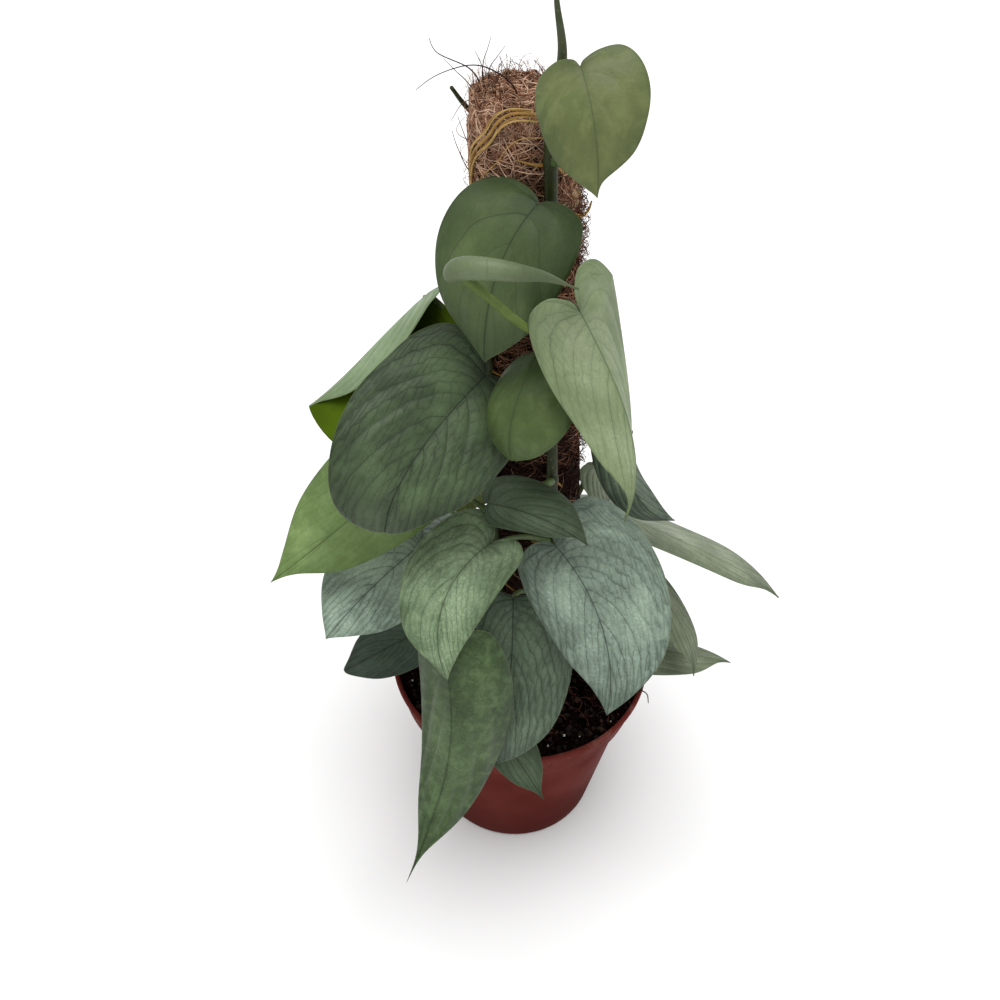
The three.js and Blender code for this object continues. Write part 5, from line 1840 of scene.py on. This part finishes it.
LEAVES = (
    HeartLeaf(
        "leaf_top_right", Stem.FRONT, Shade.YOUNG, 440, (6.5, -32, 476.5), (14, -57, 444),
        (-0.16, -0.64, 0.65), 39.7, skew=-0.01, bow=-0.05, arch=(0.16, 0.01),
        right=Half(fold=-6, cup=-30, roll=-3, lobe=0.16, point=-0.2),
        left=Half(fold=2, cup=-18, roll=-10, lobe=0.09, point=0.4),
    ),
    HeartLeaf(
        "leaf_upper_left", Stem.FRONT, Shade.DEEP_GREEN, 402, (-5, -35, 429), (-22.5, -55, 374.5),
        (-0.34, -0.66, 0.6), 53, skew=0.05, bow=0.05, arch=(0.23, 0.08),
        right=Half(fold=-1, cup=-13, roll=11, lobe=0.07, point=0.1),
        left=Half(fold=-3, cup=-29, roll=7, lobe=0.09, point=-0.2),
    ),
    HeartLeaf(
        "leaf_long_right", Stem.FRONT, Shade.SILVER_YELLOW, 364, (11.5, -61, 401.5), (32.5, -95, 329.5),
        (0.27, -0.62, 0.55), 44.5, skew=0.01, bow=-0.12, arch=(-0.15, 0.17), drip=-0.8,
        right=Half(cup=-20, roll=-2, lobe=0.15, point=0.4), left=Half(fold=-14, cup=-19, roll=-73, lobe=0.18),
    ),
    HeartLeaf(
        "leaf_small_round", Stem.FRONT, Shade.YOUNG_DEEP, 336, (-2, -46, 372), (-11, -68, 336),
        (-0.44, -0.98, 0.4), 36.6, skew=-0.12, arch=(0.3, 0.39), drip=0.0,
        right=Half(fold=-18, cup=-32, roll=21, lobe=0.03, point=-0.6),
        left=Half(fold=2, cup=-16, lobe=0.09, point=-0.4),
    ),
    HeartLeaf(
        "leaf_folded_left", Stem.LEFT, Shade.FOLDED, 344, (-48, -5, 371.5), (-99, -33, 330.5),
        (0.02, 0.93, 0.38), 65.4, skew=0.12, arch=(0.03, -0.07), drip=-1.8,
        right=Half(fold=-70, cup=-2, roll=-14, lobe=0.05, point=-1),
        left=Half(fold=-55, cup=-8, roll=-21, lobe=0.1, point=0.3),
    ),
    HeartLeaf(
        "leaf_large_left", Stem.LEFT, Shade.NETTED_GREY, 316, (-22, -42, 358), (-61, -82, 305),
        (-0.07, -0.69, 0.76), 64, skew=0.02, bow=0.05, arch=(0.06, 0.42), drip=-3.0,
        right=Half(fold=20, cup=-27, roll=22, lobe=0.09, point=-0.6),
        left=Half(fold=-8, cup=-28, roll=4, lobe=0.05, point=-0.2),
    ),
    HeartLeaf(
        "leaf_pointed_left", Stem.LEFT, Shade.YOUNG_SILVER, 252, (-44, -18, 295), (-119, -55, 245),
        (-0.38, -0.62, 0.62), 58, skew=0.07, bow=-0.01, arch=(0.1, 0.01), drip=3.0,
        right=Half(fold=1, cup=-14, lobe=0.13, point=0), left=Half(fold=4, cup=-14, lobe=0.11),
    ),
    HeartLeaf(
        "leaf_silver_left", Stem.LEFT, Shade.SILVER_PALE, 204, (-53, -20, 235), (-96, -66, 216),
        (-0.12, -0.66, 0.8), 54, skew=0.05, bow=0.02, arch=(0.09, 0.06),
        right=Half(fold=-7, cup=-13, lobe=0.13, point=-0.1),
        left=Half(fold=-12, cup=-11, lobe=0.13, point=-0.1),
    ),
    HeartLeaf(
        "leaf_dark_left", Stem.LEFT, Shade.DARK_BLUE, 156, (-52, -20, 169), (-97, -43, 157),
        (-0.05, -0.56, 0.85), 35, skew=0.02, arch=(0.07, 0.01), drip=-1.5,
        right=Half(fold=-1, cup=-18, lobe=0.11, point=0.1),
        left=Half(fold=-11, cup=-8, roll=-6, lobe=0.16, point=-0.1),
    ),
    HeartLeaf(
        "leaf_middle_heart", Stem.FRONT, Shade.SILVER_GREEN, 246, (-19, -64, 283), (-35, -109, 245),
        (-0.11, -0.78, 0.72), 41, skew=0.04, bow=0.18, arch=(0.07, 0.09), leave=(-0.8, -0.6, 0),
        right=Half(fold=9, cup=-19, lobe=0.13), left=Half(fold=1, cup=-28, lobe=0.18, point=-0.2),
    ),
    HeartLeaf(
        "leaf_dark_middle", Stem.FRONT, Shade.DARK_GREY, 286, (-20, -52, 296), (22, -78, 299),
        (-0.16, -0.36, 0.8), 27, skew=-0.12, bow=-0.03, arch=(0.14, 0.15),
        right=Half(fold=-23, cup=-26, roll=-15, lobe=0.04, point=0.5),
        left=Half(fold=-1, cup=-14, lobe=0.14, point=-0.1),
    ),
    HeartLeaf(
        "leaf_silver_front", Stem.FRONT, Shade.SILVER_BLUE, 232, (11, -52, 271), (37, -104, 216),
        (-0.12, -0.78, 0.65), 61, skew=-0.08, bow=-0.12, arch=(0.06, 0.02),
        right=Half(fold=-5, cup=-10, roll=6, lobe=0.1, point=0),
        left=Half(fold=3, cup=-18, lobe=0.12, point=0),
    ),
    HeartLeaf(
        "leaf_lower_front", Stem.FRONT, Shade.GREY_SILVER, 204, (-7, -53, 235), (-12, -95, 157),
        (-0.07, -0.81, 0.5), 48, skew=-0.12, bow=-0.03, arch=(0.09, 0.11),
        right=Half(fold=6, cup=-29, lobe=0.03, point=0.1),
        left=Half(fold=7, cup=-19, roll=7, lobe=0.02, point=-0.1),
    ),
    HeartLeaf(
        "leaf_hanging_front", Stem.LEFT, Shade.MOTTLED, 190, (-36, -98, 238), (-54, -143, 125),
        (0.09, -0.98, 0.38), 49, skew=-0.12, bow=-0.08, arch=(0, -0.19),
        right=Half(fold=-37, cup=-10, lobe=0.16, point=0.4),
        left=Half(fold=-3, cup=-26, roll=-10, lobe=0.13, point=0.4),
    ),
    HeartLeaf(
        "leaf_small_front", Stem.FRONT, Shade.DARK_GREY, 150, (-16, -72, 163), (13, -100, 131),
        (-0.03, -0.54, 0.7), 27, skew=-0.02, arch=(0.1, 0.02),
        right=Half(fold=-4, cup=-10, lobe=0.19, point=0.3),
        left=Half(fold=4, cup=-17, roll=-5, lobe=0.13, point=0.3),
    ),
    HeartLeaf(
        "leaf_folded_right", Stem.RIGHT, Shade.GREY_SILVER, 286, (36, -14, 306), (70, -20, 258),
        (-0.01, -0.89, 0.37), 30, skew=-0.06, bow=0.11, arch=(0.2, 0.23),
        right=Half(fold=-1, cup=-30, roll=-5, lobe=0.2, point=0.3),
        left=Half(fold=-60, cup=-19, lobe=0.17, point=0),
    ),
    HeartLeaf(
        "leaf_long_point_right", Stem.RIGHT, Shade.PALE_SILVER, 212, (51, 0, 239), (135, -11, 195),
        (0.1, 0.29, 0.92), 40, skew=-0.17, bow=0.05, arch=(0.05, 0.08), drip=2.5,
        right=Half(fold=-14, cup=-8, roll=-9, lobe=0.13, point=0.3),
        left=Half(fold=-10, roll=18, lobe=0.04, point=-0.1),
    ),
    HeartLeaf(
        "leaf_lower_right", Stem.RIGHT, Shade.PALE_SILVER, 178, (65, -8, 202), (91, -45, 168),
        (0.38, -0.39, 0.75), 25, skew=0.03, bow=-0.03, arch=(0.12, 0.19),
        right=Half(fold=-7, cup=-20, lobe=0.08, point=0.4), left=Half(fold=-10, cup=-9, lobe=0.15, point=0.1),
    ),
    HeartLeaf(
        "leaf_lowest_right", Stem.RIGHT, Shade.PALE_SILVER, 142, (59, -16, 154), (115, -26, 155),
        (0.03, 0.05, 0.98), 29, skew=0.03, bow=0.04, arch=(0.07, 0.07),
        right=Half(fold=-17, cup=-21, roll=8, lobe=0.16, point=0.4),
        left=Half(fold=-15, cup=-3, lobe=0.13, point=-0.1),
    ),
    HeartLeaf(
        "leaf_yellow_behind", Stem.RIGHT, Shade.YOUNG, 276, (24, 28, 300), (36, 31, 264), (0.4, 0.75, 0.4),
        30,
        right=Half(cup=-14), left=Half(cup=-14),
    ),
    HeartLeaf(
        "leaf_pale_behind", Stem.RIGHT, Shade.PALE_SILVER, 236, (33, 18, 258), (43, 20, 231),
        (0.4, -0.6, 0.7), 24,
        right=Half(cup=-14), left=Half(cup=-14),
    ),
    HeartLeaf(
        "leaf_back_top", Stem.BACK, Shade.SILVER_GREEN, 414, (-4, 44, 432), (4, 68, 388), (0.1, 0.8, 0.5), 42,
        right=Half(fold=4, cup=-16), left=Half(fold=4, cup=-16),
    ),
    HeartLeaf(
        "leaf_back_upper_left", Stem.BACK, Shade.NETTED_GREY, 348, (-16, 46, 368), (-24, 68, 322),
        (-0.3, 0.8, 0.5), 44,
    ),
    HeartLeaf(
        "leaf_back_upper_right", Stem.RIGHT, Shade.SILVER_YELLOW, 318, (18, 48, 326), (30, 70, 276),
        (0.3, 0.8, 0.5), 46,
    ),
    HeartLeaf(
        "leaf_back_middle_left", Stem.BACK, Shade.SILVER_BLUE, 292, (-26, 54, 318), (-46, 88, 262),
        (-0.4, 0.75, 0.55), 62,
    ),
    HeartLeaf(
        "leaf_back_middle_right", Stem.BACK, Shade.SILVER_GREEN, 240, (24, 58, 266), (44, 92, 208),
        (0.4, 0.75, 0.55), 58,
    ),
    # This leaf, leaf_back_left and leaf_back_low_left take the dark blue finish as painted shade.
    HeartLeaf(
        "leaf_back_middle", Stem.BACK, Shade.DARK_BLUE, 196, (-27, 36, 226), (-37, 60, 176),
        (-0.2, 0.85, 0.45), 60,
        right=Half(fold=4, cup=-10), left=Half(fold=4, cup=-10),
    ),
    HeartLeaf(
        "leaf_back_left", Stem.LEFT, Shade.DARK_BLUE, 226, (-60, 30, 238), (-98, 62, 200), (-0.5, 0.5, 0.7),
        44,
    ),
    HeartLeaf(
        "leaf_back_low_left", Stem.BACK, Shade.DARK_BLUE, 160, (-42, 58, 168), (-74, 96, 136),
        (-0.4, 0.6, 0.7), 48,
    ),
    HeartLeaf(
        "leaf_back_low_right", Stem.RIGHT, Shade.MOTTLED, 160, (44, 58, 186), (74, 96, 150), (0.4, 0.6, 0.7),
        50,
    ),
)


# ---------------------------------------------------------------- studio


@dataclass
class Studio:
    """A plain pale floor, soft light from all round and above, and the camera."""

    focal: float = 36.0
    film: float = 36.0
    place: Point = (-14.83, -365.2, 600.0)
    pitch: float = 43.91
    roll: float = 1.93
    sky: float = 0.8
    sun: float = 2.35
    sun_place: Point = (-0.02, -0.12, 2.2)
    softness: float = 46.0
    floor_half: float = 6000.0
    floor_drop: float = 0.05

    def floor(self) -> None:
        """Lays the floor."""
        side = np.linspace(-self.floor_half, self.floor_half, 9)
        x, y = np.meshgrid(side, side, indexing="ij")
        surface = Surface()
        surface.add(np.stack([x, y, 0 * x - self.floor_drop], axis=2), grid_faces(*x.shape, flip=True))
        surface.make("studio_floor", [Finish.FLOOR.material()])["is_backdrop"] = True

    def light(self) -> None:
        """Lights the room evenly, with a stronger soft light from above."""
        world = bpy.data.worlds.new("studio")
        world.use_nodes = True
        background = world.node_tree.nodes["Background"]
        background.inputs["Color"].default_value = (1.0, 1.0, 1.0, 1.0)
        background.inputs["Strength"].default_value = self.sky
        bpy.context.scene.world = world
        light = bpy.data.lights.new("soft_light", "SUN")
        light.angle = math.radians(self.softness)
        light.energy = self.sun
        lamp = bpy.data.objects.new("soft_light", light)
        lamp.rotation_euler = (-Vector(self.sun_place)).to_track_quat("-Z", "Y").to_euler()
        lamp.location = self.sun_place
        bpy.context.scene.collection.objects.link(lamp)

    def camera(self) -> None:
        """Sets the camera at the photograph's view."""
        pitch, roll = math.radians(self.pitch), math.radians(self.roll)
        right = Vector((1, 0, 0))
        ahead = Vector((0, math.cos(pitch), -math.sin(pitch)))
        up = right.cross(ahead)
        across = right * math.cos(roll) + up * math.sin(roll)
        above = up * math.cos(roll) - right * math.sin(roll)
        data = bpy.data.cameras.new("photo_view")
        data.sensor_width = self.film
        data.sensor_fit = "HORIZONTAL"
        data.lens = self.focal
        data.clip_start = 0.01
        data.clip_end = 50.0
        camera = bpy.data.objects.new("photo_view", data)
        turn = Matrix((across, above, -ahead)).transposed().to_4x4()
        camera.matrix_world = Matrix.Translation(Vector(self.place) * METRES) @ turn
        bpy.context.scene.collection.objects.link(camera)
        bpy.context.scene.camera = camera

    def build(self) -> None:
        """Sets the studio up."""
        self.floor()
        self.light()
        self.camera()
        bpy.context.scene.view_settings.view_transform = "Standard"


def main() -> None:
    """Builds the plant from the pot upwards, and works out the boxes of the part and of the picture."""
    logging.basicConfig(level=logging.INFO, format="%(name)s %(message)s")
    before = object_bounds()
    pot = NurseryPot()
    pole = CoirPole()
    pot.build()
    PottingSoil(pot, pole).build()
    pole.build()
    stems = {}
    for stem in Stem:
        stems[stem] = ClimbingStem(stem, pole, [leaf.node for leaf in LEAVES if leaf.stem is stem])
        stems[stem].build()
    YoungGrowth(stems[Stem.FRONT]).build()
    AirRoots(pole).build()
    for leaf in LEAVES:
        leaf.build(stems[leaf.stem])
    Studio().build()
    boxes = {"cad": [list(corner) for corner in before], "visual": [list(corner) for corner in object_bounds()]}


if __name__ == "__main__":
    main()
